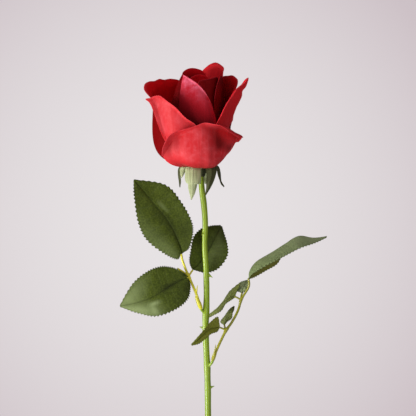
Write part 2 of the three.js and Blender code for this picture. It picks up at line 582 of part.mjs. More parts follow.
/** The receptacle under the bloom with its five sepals. */
function calyxSolid() {
  const [x, y] = STEM_CALYX_END;
  const cup = [[0, 350.3], [2.1, 350.3], [3.2, 352], [4, 354.4], [4.2, 357], [3.4, 358.6], [0, 358.6]];
  const receptacle = turnedSolid(cup, 14).translate(x, y, 0);
  return fuse([receptacle, ...SEPALS.map((sepal) => sheetSolid(sepalGrid(sepal), SEPAL_THICKNESS))]);
}

// ---- stem and stalks ------------------------------------------------------------------------------

/** The straight line that a socket runs along. */
function socketAxis({ at, towards }) {
  return vec(towards).sub(vec(at)).normalize();
}

/** The stem with its thorns and the two pegs that carry the stalks. */
function stemSolid() {
  const lower = STEM_ROUTE.filter(([, , z]) => z <= STEM_THICK_END + 2);
  const upper = STEM_ROUTE.filter(([, , z]) => z >= STEM_THICK_END - 20);
  const bodies = [
    barSolid(lower, STEM_RADIUS, 10, STEM_STEPS),
    barSolid(upper, STEM_TOP_RADIUS, 10, 10),
  ];
  for (const { foot, tip, radius } of THORNS) bodies.push(spikeSolid(foot, tip, radius, 0.35, 6));
  for (const { peg, socket } of Object.values(STALKS)) {
    const axis = socketAxis(socket);
    const entry = vec(socket.at).addScaledVector(axis, -0.6);
    const end = vec(socket.at).addScaledVector(axis, SOCKET_DEPTH - 2 * GAP);
    bodies.push(spikeSolid(peg, entry.toArray(), PEG_RADIUS, PEG_RADIUS, 8));
    bodies.push(spikeSolid(entry.toArray(), end.toArray(), PEG_RADIUS, PEG_RADIUS, 8));
    bodies.push(knobSolid(entry.toArray(), PEG_RADIUS * 1.02));
  }
  return fuse(bodies);
}

/** A leaf stalk: socket, bar, twigs to the leaves and small pointed stipules. */
function stalkSolid({ socket, route, twigs, stipules }) {
  const axis = socketAxis(socket);
  const mouth = vec(socket.at);
  const top = mouth.clone().addScaledVector(axis, SOCKET_LENGTH);
  const length = new THREE.CatmullRomCurve3(route.map(vec)).getLength();
  const bodies = [
    spikeSolid(mouth.toArray(), top.toArray(), SOCKET_RADIUS, SOCKET_RADIUS * 0.7, 10),
    barSolid(route, STALK_RADIUS, 8, Math.round(length / STALK_STEP_LENGTH)),
    ...twigs.map((twig) => barSolid(twig, TWIG_RADIUS, 6, 3)),
    ...twigs.map((twig) => knobSolid(twig[0], STALK_RADIUS * 1.25)),
    ...stipules.map(({ foot, tip, radius }) => spikeSolid(foot, tip, radius, 0.35, 6)),
  ];
  const bottom = mouth.clone().addScaledVector(axis, -1).toArray();
  const depth = mouth.clone().addScaledVector(axis, SOCKET_DEPTH).toArray();
  return fuse(bodies).subtract(spikeSolid(bottom, depth, SOCKET_BORE, SOCKET_BORE, 8));
}

/** The vase: one turned wall on a flat foot, open at the top. */
function vaseSolid() {
  return turnedSolid([[0, 0], ...VASE_OUTSIDE, ...VASE_INSIDE, [0, 6]], VASE_SIDES);
}

// ---- the scene -------------------------------------------------------------------------------------

function piece(name, body, material) {
  const mesh = new THREE.Mesh(geometryOf(body), material);
  mesh.name = name;
  return mesh;
}

const rose = new THREE.Group();
rose.position.x = NECK_LEAN;
rose.add(piece("stem", stemSolid(), STEM_GREEN));
for (const [name, stalk] of Object.entries(STALKS)) rose.add(piece(name, stalkSolid(stalk), STALK_YELLOW));
for (const [name, leaf] of Object.entries(LEAVES)) {
  rose.add(piece(name, sheetSolid(bladeGrid(leaf), LEAF_THICKNESS), LEAF_GREEN));
}
rose.add(piece("calyx", calyxSolid(), SEPAL_GREEN));

const bloom = piece("bloom", bloomSolid(), PETAL_RED);
bloom.position.copy(BLOOM_AT);
rose.add(bloom);

const model = new THREE.Group();
model.add(piece("vase", vaseSolid(), GLAZE_WHITE), rose);

export default model;
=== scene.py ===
"""A red rose with cut leaves in a plain glazed bud vase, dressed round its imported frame.

The shape tables are in millimetres and the meshes in metres, all in the row frame: +Z up,
+X to the right and +Y away from the viewer, with the origin at the centre of the vase's foot.
"""

import logging
import math
from collections.abc import Sequence
from dataclasses import dataclass, field
from enum import Enum

import bpy
import numpy as np
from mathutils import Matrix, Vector

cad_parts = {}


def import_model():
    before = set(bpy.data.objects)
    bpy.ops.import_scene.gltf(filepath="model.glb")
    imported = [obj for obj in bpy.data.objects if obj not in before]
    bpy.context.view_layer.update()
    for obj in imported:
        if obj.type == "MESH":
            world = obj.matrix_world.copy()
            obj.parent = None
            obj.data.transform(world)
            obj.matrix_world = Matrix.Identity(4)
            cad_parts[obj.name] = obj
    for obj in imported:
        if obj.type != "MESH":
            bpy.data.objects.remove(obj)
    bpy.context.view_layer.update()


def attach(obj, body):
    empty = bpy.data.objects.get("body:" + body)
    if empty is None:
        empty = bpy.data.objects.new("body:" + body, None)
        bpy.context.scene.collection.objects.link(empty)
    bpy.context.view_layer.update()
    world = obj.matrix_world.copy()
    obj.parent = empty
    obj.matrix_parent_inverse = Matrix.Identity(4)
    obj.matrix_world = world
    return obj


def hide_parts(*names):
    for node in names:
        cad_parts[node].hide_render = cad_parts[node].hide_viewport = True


LOG = logging.getLogger("rose")
MM = 0.001  # a millimetre in metres
TINY = 1e-9  # keeps a division off 0 and a place off the last knot
BODY = "root"

ROSE_AT = np.array([-1.6, 0.0, 0.0])  # the stem leans on the left of the vase's neck
BLOOM_AT = ROSE_AT + np.array([-5.0, 0.0, 359.5])  # where the petals' claws meet

Rows = Sequence[Sequence[float]]
Colour = tuple[float, float, float]
Span = tuple[float, float]  # from where to where
Ramp = tuple[float, float, float]  # from where to where, and how much of it shows


# ---- curves and surfaces -----------------------------------------------------------------------


def spline(rows: Rows, places: np.ndarray) -> np.ndarray:
    """A Catmull-Rom spline through rows of numbers.

    Each stretch between two rows is the cubic whose end slopes are half the step between the
    neighbouring rows; beyond each end the next row is the mirror image of the last but one.

    Args:
        rows: the rows that the spline passes through, evenly spaced in its parameter.
        places: where to read it, from 0 to 1.

    Returns:
        One row of numbers for each place.
    """
    knots = np.asarray(rows, float)
    knots = np.vstack([2 * knots[0] - knots[1], knots, 2 * knots[-1] - knots[-2]])
    last = len(rows) - 1
    at = np.clip(np.asarray(places, float) * last, 0, last - TINY)
    i = np.floor(at).astype(int)
    t = (at - i)[:, None]
    a, b, c, d = (knots[i + k] for k in range(4))
    cubic = (3 * b - a - 3 * c + d) * t**3
    return 0.5 * (2 * b + (c - a) * t + (2 * a - 5 * b + 4 * c - d) * t**2 + cubic)


def unit(vectors: np.ndarray) -> np.ndarray:
    """Vectors scaled to length 1 along the last axis."""
    return vectors / np.maximum(np.linalg.norm(vectors, axis=-1, keepdims=True), TINY)


def steps_along(points: np.ndarray, axis: int) -> np.ndarray:
    """The distance run along one axis of a grid of points: the running sum of its steps.

    Args:
        points: the grid of points.
        axis: the grid's axis to run along.

    Returns:
        The distance at each point, 0 at the start.
    """
    steps = np.linalg.norm(np.diff(points, axis=axis), axis=-1)
    start = np.zeros_like(np.take(steps, [0], axis=axis))
    return np.cumsum(np.concatenate([start, steps], axis=axis), axis=axis)


def bell(offset: np.ndarray, width: float) -> np.ndarray:
    """A Gaussian bell: e to the power of minus the square of offset over width."""
    return np.exp(-((offset / width) ** 2))


def patches(rows: Rows, across: np.ndarray, along: np.ndarray) -> np.ndarray:
    """The sum of soft round patches, each of them a height times a Gaussian bell in two directions.

    Args:
        rows: [across, along, width, length, height] of each patch.
        across: how far across each point is.
        along: how far along it is.

    Returns:
        The sum at each point.
    """
    total = 0 * along
    for middle, place, width, length, height in rows:
        power = -(((across - middle) / width) ** 2) - ((along - place) / length) ** 2
        total = total + height * np.exp(power)
    return total


@dataclass
class Shell:
    """One closed surface: its points in millimetres, its faces, and values on its points."""

    points: np.ndarray
    quads: np.ndarray
    triangles: np.ndarray = field(default_factory=lambda: np.zeros((0, 3), int))
    values: dict[str, np.ndarray] = field(default_factory=dict)

    def moved(self, offset: np.ndarray) -> "Shell":
        """The same shell with its points shifted by an offset."""
        return Shell(self.points + offset, self.quads, self.triangles, self.values)


def grid_quads(rows: int, columns: int, start: int = 0, wrap: bool = False) -> np.ndarray:
    """The quads between the points of a grid that are numbered row by row.

    Args:
        rows: how many rows of points.
        columns: how many points in each.
        start: the first point's number.
        wrap: whether the last column is joined to the first.

    Returns:
        Four point numbers for each quad.
    """
    index = start + np.arange(rows * columns).reshape(rows, columns)
    if wrap:
        index = np.hstack([index, index[:, :1]])
    low, high = index[:-1], index[1:]
    return np.stack([low[:, :-1], low[:, 1:], high[:, 1:], high[:, :-1]], -1).reshape(-1, 4)


def sheet_shell(grid: np.ndarray, thickness: np.ndarray, values: dict[str, np.ndarray]) -> Shell:
    """A grid of points as a thin closed shell with a rounded rim.

    Both faces are the grid moved by half the thickness along its normal, and the rim is a ring of
    points pushed out from the border by half the thickness, joined to both faces.

    Args:
        grid: rows by columns of points.
        thickness: the thickness at each of them.
        values: what each point carries, on both faces alike. The value "side" is added to them:
            0 on the face that the normal leaves from, 1 on the other, and 0.5 on the rim.

    Returns:
        The closed shell.
    """
    rows, columns, _ = grid.shape
    across, along = np.gradient(grid, axis=1), np.gradient(grid, axis=0)
    half = (unit(np.cross(across, along)) * thickness[..., None] / 2).reshape(-1, 3)
    count = rows * columns
    index = np.arange(count).reshape(rows, columns)
    border = np.concatenate([index[0, :-1], index[:-1, -1], index[-1, :0:-1], index[:0:-1, 0]])
    outward = np.zeros_like(grid)
    outward[0] -= unit(along[0])
    outward[-1] += unit(along[-1])
    outward[:, 0] -= unit(across[:, 0])
    outward[:, -1] += unit(across[:, -1])
    flat = grid.reshape(-1, 3)
    reach = unit(outward.reshape(-1, 3)[border]) * thickness.reshape(-1)[border, None] / 2
    points = np.concatenate([flat + half, flat - half, flat[border] + reach])
    ring = 2 * count + np.arange(len(border))
    after, ring_after = np.roll(border, -1), np.roll(ring, -1)
    front = grid_quads(rows, columns)
    quads = np.concatenate([
        front,
        front[:, ::-1] + count,
        np.stack([border, ring, ring_after, after], -1),
        np.stack([border + count, after + count, ring_after, ring], -1),
    ])
    sides = np.concatenate([np.zeros(count), np.ones(count), np.full(len(border), 0.5)])
    rows_of = {name: value.reshape(-1) for name, value in values.items()}
    carried = {name: np.concatenate([value, value, value[border]]) for name, value in rows_of.items()}
    return Shell(points, quads, values={**carried, "side": sides})


def capped(rings: np.ndarray, poles: np.ndarray) -> Shell:
    """Rings of points joined into a wall, with a fan of triangles round a pole at each end.

    Args:
        rings: rings by sides of points.
        poles: the pole before the first ring and the one after the last.

    Returns:
        The closed shell.
    """
    count, sides, _ = rings.shape
    low = np.arange(sides)
    high = low + (count - 1) * sides
    first = np.stack([np.full(sides, count * sides), np.roll(low, -1), low], -1)
    last = np.stack([np.full(sides, count * sides + 1), high, np.roll(high, -1)], -1)
    points = np.concatenate([rings.reshape(-1, 3), poles])
    return Shell(points, grid_quads(count, sides, wrap=True), np.concatenate([first, last]))


DOME_RISES = np.radians([0, 35, 65])  # where a dome's rings lie on their quarter circle
NEAR_DEPTH = np.array([0.02, 1.0, 0.03])  # close to the depth axis, and along no bar


def tube_shell(path: np.ndarray, radii: np.ndarray, sides: int) -> Shell:
    """A round bar whose radius changes along a path, its two ends domed.

    Each ring lies square to the path, on two directions made from the path's heading and the
    depth axis. A dome is three rings that shrink as a quarter circle, closed at a pole.

    Args:
        path: the points that the bar's middle runs through.
        radii: its radius at each of them.
        sides: how many steps round.

    Returns:
        The closed shell.
    """
    sines, cosines = np.sin(DOME_RISES), np.cos(DOME_RISES)
    heading = unit(np.gradient(path, axis=0))
    foot_path = path[0] - heading[0] * radii[0] * sines[:0:-1, None]
    head_path = path[-1] + heading[-1] * radii[-1] * sines[1:, None]
    centres = np.concatenate([foot_path, path, head_path])
    sizes = np.concatenate([radii[0] * cosines[:0:-1], radii, radii[-1] * cosines[1:]])
    headings = np.concatenate([np.repeat(heading[:1], 2, 0), heading, np.repeat(heading[-1:], 2, 0)])
    side = unit(np.cross(headings, NEAR_DEPTH))
    other = np.cross(headings, side)
    turn = np.linspace(0, 2 * math.pi, sides, endpoint=False)[None, :, None]
    spokes = np.cos(turn) * side[:, None] + np.sin(turn) * other[:, None]
    poles = np.stack([path[0] - heading[0] * radii[0], path[-1] + heading[-1] * radii[-1]])
    return capped(centres[:, None] + sizes[:, None, None] * spokes, poles)


def turned_shell(profile: np.ndarray, sides: int) -> Shell:
    """A shape of revolution: every point of a profile carried round Z on a circle of its radius.

    Args:
        profile: [radius, height] points from one end of the axis round to the other, the first
            and last of them on the axis.
        sides: how many steps round.

    Returns:
        The closed shell.
    """
    turn = np.linspace(0, 2 * math.pi, sides, endpoint=False)[None]
    radius, height = profile[1:-1, :1], profile[1:-1, 1:]
    rings = np.stack([radius * np.cos(turn), radius * np.sin(turn), height + 0 * turn], -1)
    return capped(rings, np.array([[0, 0, profile[0, 1]], [0, 0, profile[-1, 1]]]))


def turned_profile(rows: Rows, steps: int) -> np.ndarray:
    """A smooth profile through rows, its two ends on the axis and all of it between their heights.

    Args:
        rows: [radius, height] rows whose first and last are on the axis.
        steps: how many points it gets.

    Returns:
        The [radius, height] points.
    """
    profile = spline(rows, np.linspace(0, 1, steps))
    profile[[0, -1], 0] = 0
    heights = np.clip(profile[:, 1], rows[0][1], rows[-1][1])
    return np.stack([np.maximum(profile[:, 0], 0), heights], -1)


def joined(shells: Sequence[Shell]) -> Shell:
    """Several shells as one, each still closed by itself."""
    starts = np.cumsum([0] + [len(s.points) for s in shells[:-1]])
    return Shell(
        np.concatenate([s.points for s in shells]),
        np.concatenate([s.quads + n for s, n in zip(shells, starts)]),
        np.concatenate([s.triangles + n for s, n in zip(shells, starts)]),
    )


# ---- pieces in the scene -----------------------------------------------------------------------


class Slot(Enum):
    """The material slots."""

    PETAL = "petal_red"
    LEAF = "leaf_green"
    STEM = "stem_green"
    STALK = "stalk_yellow"
    SEPAL = "sepal_green"
    GLAZE = "glaze_white"


def mesh_object(name: str, shell: Shell) -> bpy.types.Object:
    """A shell as a smooth mesh object at the origin, with the shell's values as attributes.

    Args:
        name: the object's name.
        shell: its points, faces and values.

    Returns:
        The object, in the scene.
    """
    mesh = bpy.data.meshes.new(name)
    faces = shell.quads.tolist() + shell.triangles.tolist()
    mesh.from_pydata((shell.points * MM).tolist(), [], faces)
    mesh.polygons.foreach_set("use_smooth", np.ones(len(faces), bool))
    for key, values in shell.values.items():
        layer = mesh.attributes.new(key, "FLOAT", "POINT")
        layer.data.foreach_set("value", values.astype(np.float32))
    mesh.update()
    piece = bpy.data.objects.new(name, mesh)
    bpy.context.scene.collection.objects.link(piece)
    return piece


SOFTENING = 0.5  # how far each smoothing moves a point to the middle of its neighbours


def melt(piece: bpy.types.Object, voxel: float, smoothing: int) -> None:
    """Melts overlapping shells into one moulded surface by a voxel remesh and smoothing.

    Args:
        piece: the object that holds the shells.
        voxel: the remesh's voxel size in millimetres.
        smoothing: how often the new surface is smoothed.
    """
    remesh = piece.modifiers.new("melt", "REMESH")
    remesh.mode = "VOXEL"
    remesh.voxel_size = voxel * MM
    remesh.use_smooth_shade = True
    smooth = piece.modifiers.new("soften", "SMOOTH")
    smooth.factor = SOFTENING
    smooth.iterations = smoothing
    bpy.context.view_layer.update()
    made = piece.evaluated_get(bpy.context.evaluated_depsgraph_get())
    mesh = bpy.data.meshes.new_from_object(made)
    piece.modifiers.clear()
    old, piece.data = piece.data, mesh
    bpy.data.meshes.remove(old)


def settle(piece: bpy.types.Object, finish: bpy.types.Material, slot: Slot, *nodes: str) -> None:
    """Gives a piece its finish, hides the nodes that it stands for and lets it ride on the body.

    Args:
        piece: the piece.
        finish: its material.
        slot: not used.
        nodes: the nodes that it stands for.
    """
    piece.data.materials.clear()
    piece.data.materials.append(finish)
    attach(piece, BODY)
    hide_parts(*nodes)
    LOG.info("%s: %d faces, for %s", piece.name, len(piece.data.polygons), ", ".join(nodes))


# ---- shader expressions ------------------------------------------------------------------------


class Signal:
    """A node's output that takes part in arithmetic; each operation adds a Math node."""

    def __init__(self, nodes: "Nodes", socket: bpy.types.NodeSocket) -> None:
        """Holds a socket and the nodes that it is among."""
        self.nodes = nodes
        self.socket = socket

    def _math(self, operation: str, *values: "Signal | float") -> "Signal":
        """The result of a Math node on the given values."""
        return self.nodes.node("ShaderNodeMath", {"operation": operation}, dict(enumerate(values)))

    def __add__(self, other: "Signal | float") -> "Signal":
        """self + other."""
        return self._math("ADD", self, other)

    def __sub__(self, other: "Signal | float") -> "Signal":
        """self - other."""
        return self._math("SUBTRACT", self, other)

    def __rsub__(self, other: float) -> "Signal":
        """other - self."""
        return self._math("SUBTRACT", other, self)

    def __mul__(self, other: "Signal | float") -> "Signal":
        """self * other."""
        return self._math("MULTIPLY", self, other)

    __radd__ = __add__

    def wave(self) -> "Signal":
        """The sine of self."""
        return self._math("SINE", self)

    def ease(self, low: float, high: float) -> "Signal":
        """0 where self is at low, 1 where it is at high, and a smooth step between them."""
        settings = {"interpolation_type": "SMOOTHSTEP"}
        return self.nodes.node("ShaderNodeMapRange", settings, {0: self, 1: low, 2: high})

    def ramp(self, ramp: Ramp) -> "Signal":
        """The smooth step between the ramp's two places, times its share."""
        return self.ease(ramp[0], ramp[1]) * ramp[2]


class Nodes:
    """A node tree and the ways to add to it."""

    def __init__(self, tree: bpy.types.NodeTree) -> None:
        """Holds the tree."""
        self.tree = tree

    def feed(self, socket: bpy.types.NodeSocket, value: "Signal | float | Sequence[float]") -> None:
        """Links a signal to a socket, or sets the socket's own value.

        Args:
            socket: the socket.
            value: the signal or value.
        """
        if isinstance(value, Signal):
            self.tree.links.new(value.socket, socket)
        else:
            socket.default_value = value

    def node(self, kind: str, settings: dict, inputs: dict, output: int | str = 0) -> Signal:
        """Adds a node.

        Args:
            kind: the node's type.
            settings: its own settings, set before its sockets.
            inputs: a value or signal for each socket, by its index or name.
            output: the index or name of the output that is wanted.

        Returns:
            That output.
        """
        made = self.tree.nodes.new(kind)
        for key, value in settings.items():
            setattr(made, key, value)
        for key, value in inputs.items():
            self.feed(made.inputs[key], value)
        return Signal(self, made.outputs[output])

    def mix(self, share: Signal, low: "Signal | Colour", high: "Signal | Colour") -> Signal:
        """A colour that goes from low to high as share goes from 0 to 1."""
        low, high = (v if isinstance(v, Signal) else (*v, 1.0) for v in (low, high))
        return self.node("ShaderNodeMix", {"data_type": "RGBA"}, {0: share, 6: low, 7: high}, 2)


class Sheet(Nodes):
    """The node tree of one finish."""

    def __init__(self, name: str) -> None:
        """Starts a material with its plain Principled shader."""
        self.material = bpy.data.materials.new(name)
        self.material.use_nodes = True
        super().__init__(self.material.node_tree)
        self.shader = self.tree.nodes["Principled BSDF"]

    def value(self, name: str) -> Signal:
        """A value that the piece's points carry."""
        return self.node("ShaderNodeAttribute", {"attribute_name": name}, {}, "Fac")

    def place(self) -> Signal:
        """Where a point is on the object, in metres."""
        return self.node("ShaderNodeTexCoord", {}, {}, "Object")

    def height(self) -> Signal:
        """How high a point is above the vase's foot, in metres."""
        return self.node("ShaderNodeSeparateXYZ", {}, {0: self.place()}, "Z")

    def vector(self, x: Signal, y: Signal) -> Signal:
        """Two signals as the first parts of a vector."""
        return self.node("ShaderNodeCombineXYZ", {}, {0: x, 1: y})

    def noise(self, where: Signal, scale: float, detail: float = 2.0) -> Signal:
        """Smooth noise from 0 to 1."""
        inputs = {"Vector": where, "Scale": scale, "Detail": detail}
        return self.node("ShaderNodeTexNoise", {}, inputs, "Fac")

    def finish(
        self,
        colour: "Signal | Sequence[float]",
        roughness: "Signal | float",
        relief: Signal | None = None,
        depth: float = 0.0,
        **fixed: "float | Sequence[float]",
    ) -> bpy.types.Material:
        """Wires the shader.

        Args:
            colour: the base colour.
            roughness: the roughness.
            relief: the height of the fine relief, from 0 to 1, if there is any.
            depth: how deep that relief is, in millimetres.
            fixed: values of the shader's other sockets, with _ for a space in their names.

        Returns:
            The material.
        """
        self.feed(self.shader.inputs["Base Color"], colour)
        self.feed(self.shader.inputs["Roughness"], roughness)
        if relief is not None:
            inputs = {"Height": relief, "Distance": depth * MM, "Strength": 1.0}
            self.feed(self.shader.inputs["Normal"], self.node("ShaderNodeBump", {}, inputs))
        for key, value in fixed.items():
            self.shader.inputs[key.replace("_", " ")].default_value = value
        return self.material


# ---- finishes ----------------------------------------------------------------------------------


@dataclass(frozen=True)
class VelvetFinish:
    """Soft red petal, veined and mottled, with painted shade at the claw and in patches, and painted
    highlights: a pinker tint towards the lip and a lighter line on the rim.
    """

    name: str
    deep: Colour = (0.24, 0.002, 0.003)  # painted shade at the claw, also the tint of the shade patches
    body: Colour = (0.74, 0.020, 0.027)  # the outer face
    clear: Colour = (0.84, 0.085, 0.104)  # painted highlight: the pinker tint where the outer face catches the light
    lip: Colour = (0.92, 0.060, 0.080)  # painted highlight on the thin line of the rim
    inner: Colour = (0.80, 0.007, 0.012)  # the face to the bloom's middle
    highlight_share: float = 1.0  # how much of the painted highlight shows
    highlight_at: Span = (0.05, 0.6)  # where it sets in
    rise: Span = (0.0, 0.5)  # where the painted shade at the claw ends
    shine: float = 0.25
    mottling: Ramp = (0.38, 0.68, 0.5)  # what the painted highlight follows
    veining: Ramp = (0.4, 0.7, 0.15)
    flecking: Ramp = (0.45, 0.7, 0.35)
    inner_highlight: float = 0.35  # how much of it the inner face shows
    inner_from: Span = (0.3, 0.7)  # where one face's tint gives way to the other's
    rim_highlight: Ramp = (0.95, 0.995, 0.4)  # where the painted rim highlight shows, and how much
    mottle_scale: float = 90.0
    fine_scale: float = 420.0
    grain_scale: float = 2400.0
    vein_scale: Span = (26.0, 2.4)  # across and along the petal
    relief_depth: float = 0.28  # in millimetres

    def material(self) -> bpy.types.Material:
        """Builds the petal's finish.

        Returns:
            The material.
        """
        sheet = Sheet(self.name)
        along, across = sheet.value("along"), sheet.value("across")
        place = sheet.place()
        mottle = sheet.noise(place, self.mottle_scale, detail=4)
        fine = sheet.noise(place, self.fine_scale, detail=3)
        wide, high = self.vein_scale
        veins = sheet.noise(sheet.vector(across * wide, along * high), scale=1.0, detail=3)
        grain = sheet.noise(place, self.grain_scale, detail=1)
        # Painted highlight: the clear tint, mottled by noise and placed by the highlight patches.
        bright = mottle.ramp(self.mottling) + veins.ramp(self.veining) + fine.ramp(self.flecking)
        highlight_share = bright * sheet.value("painted_highlight") * self.highlight_share
        outer = sheet.mix(highlight_share * along.ease(*self.highlight_at), self.body, self.clear)
        within = sheet.mix(highlight_share * self.inner_highlight, self.inner, self.clear)
        colour = sheet.mix(sheet.value("inner").ease(*self.inner_from), outer, within)
        # Painted shade towards the claw, deep inside the bloom.
        colour = sheet.mix(along.ease(*self.rise), self.deep, colour)
        # Painted shade in the shade patches.
        colour = sheet.mix(sheet.value("painted_shade"), colour, self.deep)
        # Painted highlight along the rim.
        colour = sheet.mix(along.ramp(self.rim_highlight), colour, self.lip)
        relief = veins * 0.5 + fine * 0.3 + grain * 0.2
        return sheet.finish(
            colour, roughness=0.5 + mottle * 0.15, relief=relief, depth=self.relief_depth,
            Sheen_Weight=0.012, Sheen_Roughness=0.4, Sheen_Tint=(1.0, 0.1, 0.12, 1.0),
            Specular_IOR_Level=self.shine,
        )


@dataclass(frozen=True)
class ClothFinish:
    """Woven leaf cloth: flecked green with pressed veins and darker at its cut edge, with painted shade
    in its rib and darker patches, and painted light and sheen in paler patches.
    """

    name: str
    upper: Colour = (0.062, 0.088, 0.007)
    # Painted light and sheen, mixed in by the pale patches.
    light: Colour = (0.290, 0.365, 0.150)
    fleck: Colour = (0.170, 0.225, 0.030)
    under: Colour = (0.170, 0.220, 0.100)
    # The cut edge's tint, also used for painted shade in the rib and in the darker patches.
    edge: Colour = (0.016, 0.022, 0.004)
    vein: Colour = (0.110, 0.145, 0.040)
    threads: float = 9.0  # the weave's waves, in radians to a millimetre
    patching: Ramp = (0.35, 0.75, 0.2)  # what the fleck's tint follows
    threading: Ramp = (0.45, 0.68, 0.25)
    gaps: Ramp = (0.55, 0.3, 0.35)  # between the threads, in the edge's tint
    vein_share: float = 0.35
    # How much painted shade lies in the rib's groove.
    rib_shade_share: float = 0.65
    margin_share: float = 0.5
    margin_width: float = 0.5  # in millimetres
    under_from: Span = (0.45, 0.9)  # where the upper face gives way to the under face

    def material(self) -> bpy.types.Material:
        """Builds the leaf's finish.

        Returns:
            The material.
        """
        sheet = Sheet(self.name)
        place = sheet.place()
        patch = sheet.noise(place, scale=110, detail=3)
        thread = sheet.noise(place, scale=950, detail=2)
        weft, warp = (sheet.value(name) * self.threads for name in ("weft", "warp"))
        pale = sheet.value("pale")
        flecked = patch.ramp(self.patching) + thread.ramp(self.threading)
        colour = sheet.mix(flecked, self.upper, self.fleck)
        colour = sheet.mix(thread.ramp(self.gaps), colour, self.edge)
        colour = sheet.mix(sheet.value("vein") * self.vein_share, colour, self.vein)
        # Painted light and sheen where the pale patches are above 0, painted shade where they are below
        # 0.
        colour = sheet.mix(pale * (0.75 + patch * 0.5), colour, self.light)
        colour = sheet.mix(pale * -1.0, colour, self.edge)
        colour = sheet.mix(sheet.value("side").ease(*self.under_from), colour, self.under)
        # Painted shade in the rib's groove.
        colour = sheet.mix(sheet.value("rib_shade") * self.rib_shade_share, colour, self.edge)
        away = sheet.value("margin").ease(0.0, self.margin_width)
        colour = sheet.mix(self.margin_share - away * self.margin_share, colour, self.edge)
        relief = weft.wave() * warp.wave() * 0.3 + thread * 0.7
        return sheet.finish(
            colour, roughness=0.52 + patch * 0.2, relief=relief, depth=0.07,
            Sheen_Weight=0.02, Sheen_Roughness=0.5, Sheen_Tint=(0.8, 1.0, 0.5, 1.0),
            Specular_IOR_Level=0.14,
        )


@dataclass(frozen=True)
class MouldedFinish:
    """Satin moulded plastic whose tint drifts from one colour to another up the piece."""

    name: str
    low: Colour
    high: Colour
    patch: Colour
    low_at: float  # height of the low colour, in millimetres
    high_at: float
    roughness: float = 0.30
    blotches: Ramp = (0.5, 0.8, 0.45)

    def material(self) -> bpy.types.Material:
        """Builds the moulding's finish.

        Returns:
            The material.
        """
        sheet = Sheet(self.name)
        place = sheet.place()
        drift = sheet.height().ease(self.low_at * MM, self.high_at * MM)
        blotch = sheet.noise(place, scale=75, detail=3)
        grain = sheet.noise(place, scale=900, detail=2)
        colour = sheet.mix(drift, self.low, self.high)
        colour = sheet.mix(blotch.ramp(self.blotches), colour, self.patch)
        return sheet.finish(
            colour, roughness=self.roughness + blotch * 0.14, relief=grain, depth=0.03,
            Specular_IOR_Level=0.38, Coat_Weight=0.5, Coat_Roughness=0.22,
        )


@dataclass(frozen=True)
class SepalFinish:
    """Soft sepal: streaked lengthwise, one tint inside and another outside."""

    name: str
    outside: Colour
    inside: Colour
    streak: Colour
    streaking: Ramp = (0.45, 0.62, 0.8)
    inside_from: Span = (0.4, 0.6)  # where one face's tint gives way to the other's

    def material(self) -> bpy.types.Material:
        """Builds the sepal's finish.

        Returns:
            The material.
        """
        sheet = Sheet(self.name)
        along, across = sheet.value("along"), sheet.value("across")
        streaks = sheet.noise(sheet.vector(across * 13, along * 2.2), scale=1.0, detail=3)
        colour = sheet.mix(sheet.value("side").ease(*self.inside_from), self.outside, self.inside)
        colour = sheet.mix(streaks.ramp(self.streaking), colour, self.streak)
        return sheet.finish(
            colour, roughness=0.6 + streaks * 0.1, relief=streaks, depth=0.12,
            Sheen_Weight=0.03, Sheen_Roughness=0.5, Specular_IOR_Level=0.18,
        )


@dataclass(frozen=True)
class GlazeFinish:
    """Warm white glaze with a few fine specks, stopping short of the bare clay of the foot."""

    name: str = "white_glaze"
    glaze: Colour = (0.72, 0.69, 0.63)
    pooled: Colour = (0.60, 0.575, 0.50)
    speck: Colour = (0.34, 0.27, 0.18)
    clay: Colour = (0.50, 0.40, 0.29)
    glaze_starts: float = 1.6  # height of the glaze's edge, in millimetres
    edge_blur: float = 0.25  # half the width over which it sets in
    edge_drift: float = 1.2  # how far it wanders up and down
    clouding: Ramp = (0.35, 0.7, 0.5)
    speckling: Ramp = (0.70, 0.76, 0.7)
    clay_roughness: float = 0.85
    glaze_smoothing: float = 0.65  # how much smoother the glaze is than the clay

    def material(self) -> bpy.types.Material:
        """Builds the vase's finish.

        Returns:
            The material.
        """
        sheet = Sheet(self.name)
        place, height = sheet.place(), sheet.height()
        cloud = sheet.noise(place, scale=28, detail=3)
        specks = sheet.noise(place, scale=420, detail=1)
        colour = sheet.mix(cloud.ramp(self.clouding), self.glaze, self.pooled)
        colour = sheet.mix(specks.ramp(self.speckling), colour, self.speck)
        edge = height + (cloud - 0.5) * (self.edge_drift * MM)
        low, high = self.glaze_starts - self.edge_blur, self.glaze_starts + self.edge_blur
        glazed = edge.ease(low * MM, high * MM)
        colour = sheet.mix(glazed, self.clay, colour)
        return sheet.finish(
            colour, roughness=self.clay_roughness - glazed * (self.glaze_smoothing - cloud * 0.08),
            relief=cloud * 0.6 + glazed * 0.4, depth=0.25, Specular_IOR_Level=0.5, Coat_Roughness=0.08,
        )


# ---- the bloom ---------------------------------------------------------------------------------


class Tone(Enum):
    """How deep a petal's red is, and how much painted shade and painted highlight its finish carries."""

    CORAL = "coral_petal"
    WRAP = "wrapped_shaded_lit_petal"
    RICH = "rich_petal"
    DEEP = "deep_shaded_petal"
    HEART = "heart_shaded_petal"


LIP_STEPS = 4  # how many fine steps a lip is traced in for each of its rows
LIP_STARTS = 0.8  # the value of along where a petal's lip starts

# The sine waves along a rim: each one's length in millimetres over 2 pi, its share of the
# ripple, how much of the petal's phase it takes, and where it starts.
RIPPLES = ((4.6, 1.0, 1.0, 0.0), (2.7, 0.6, 1.7, 1.0))


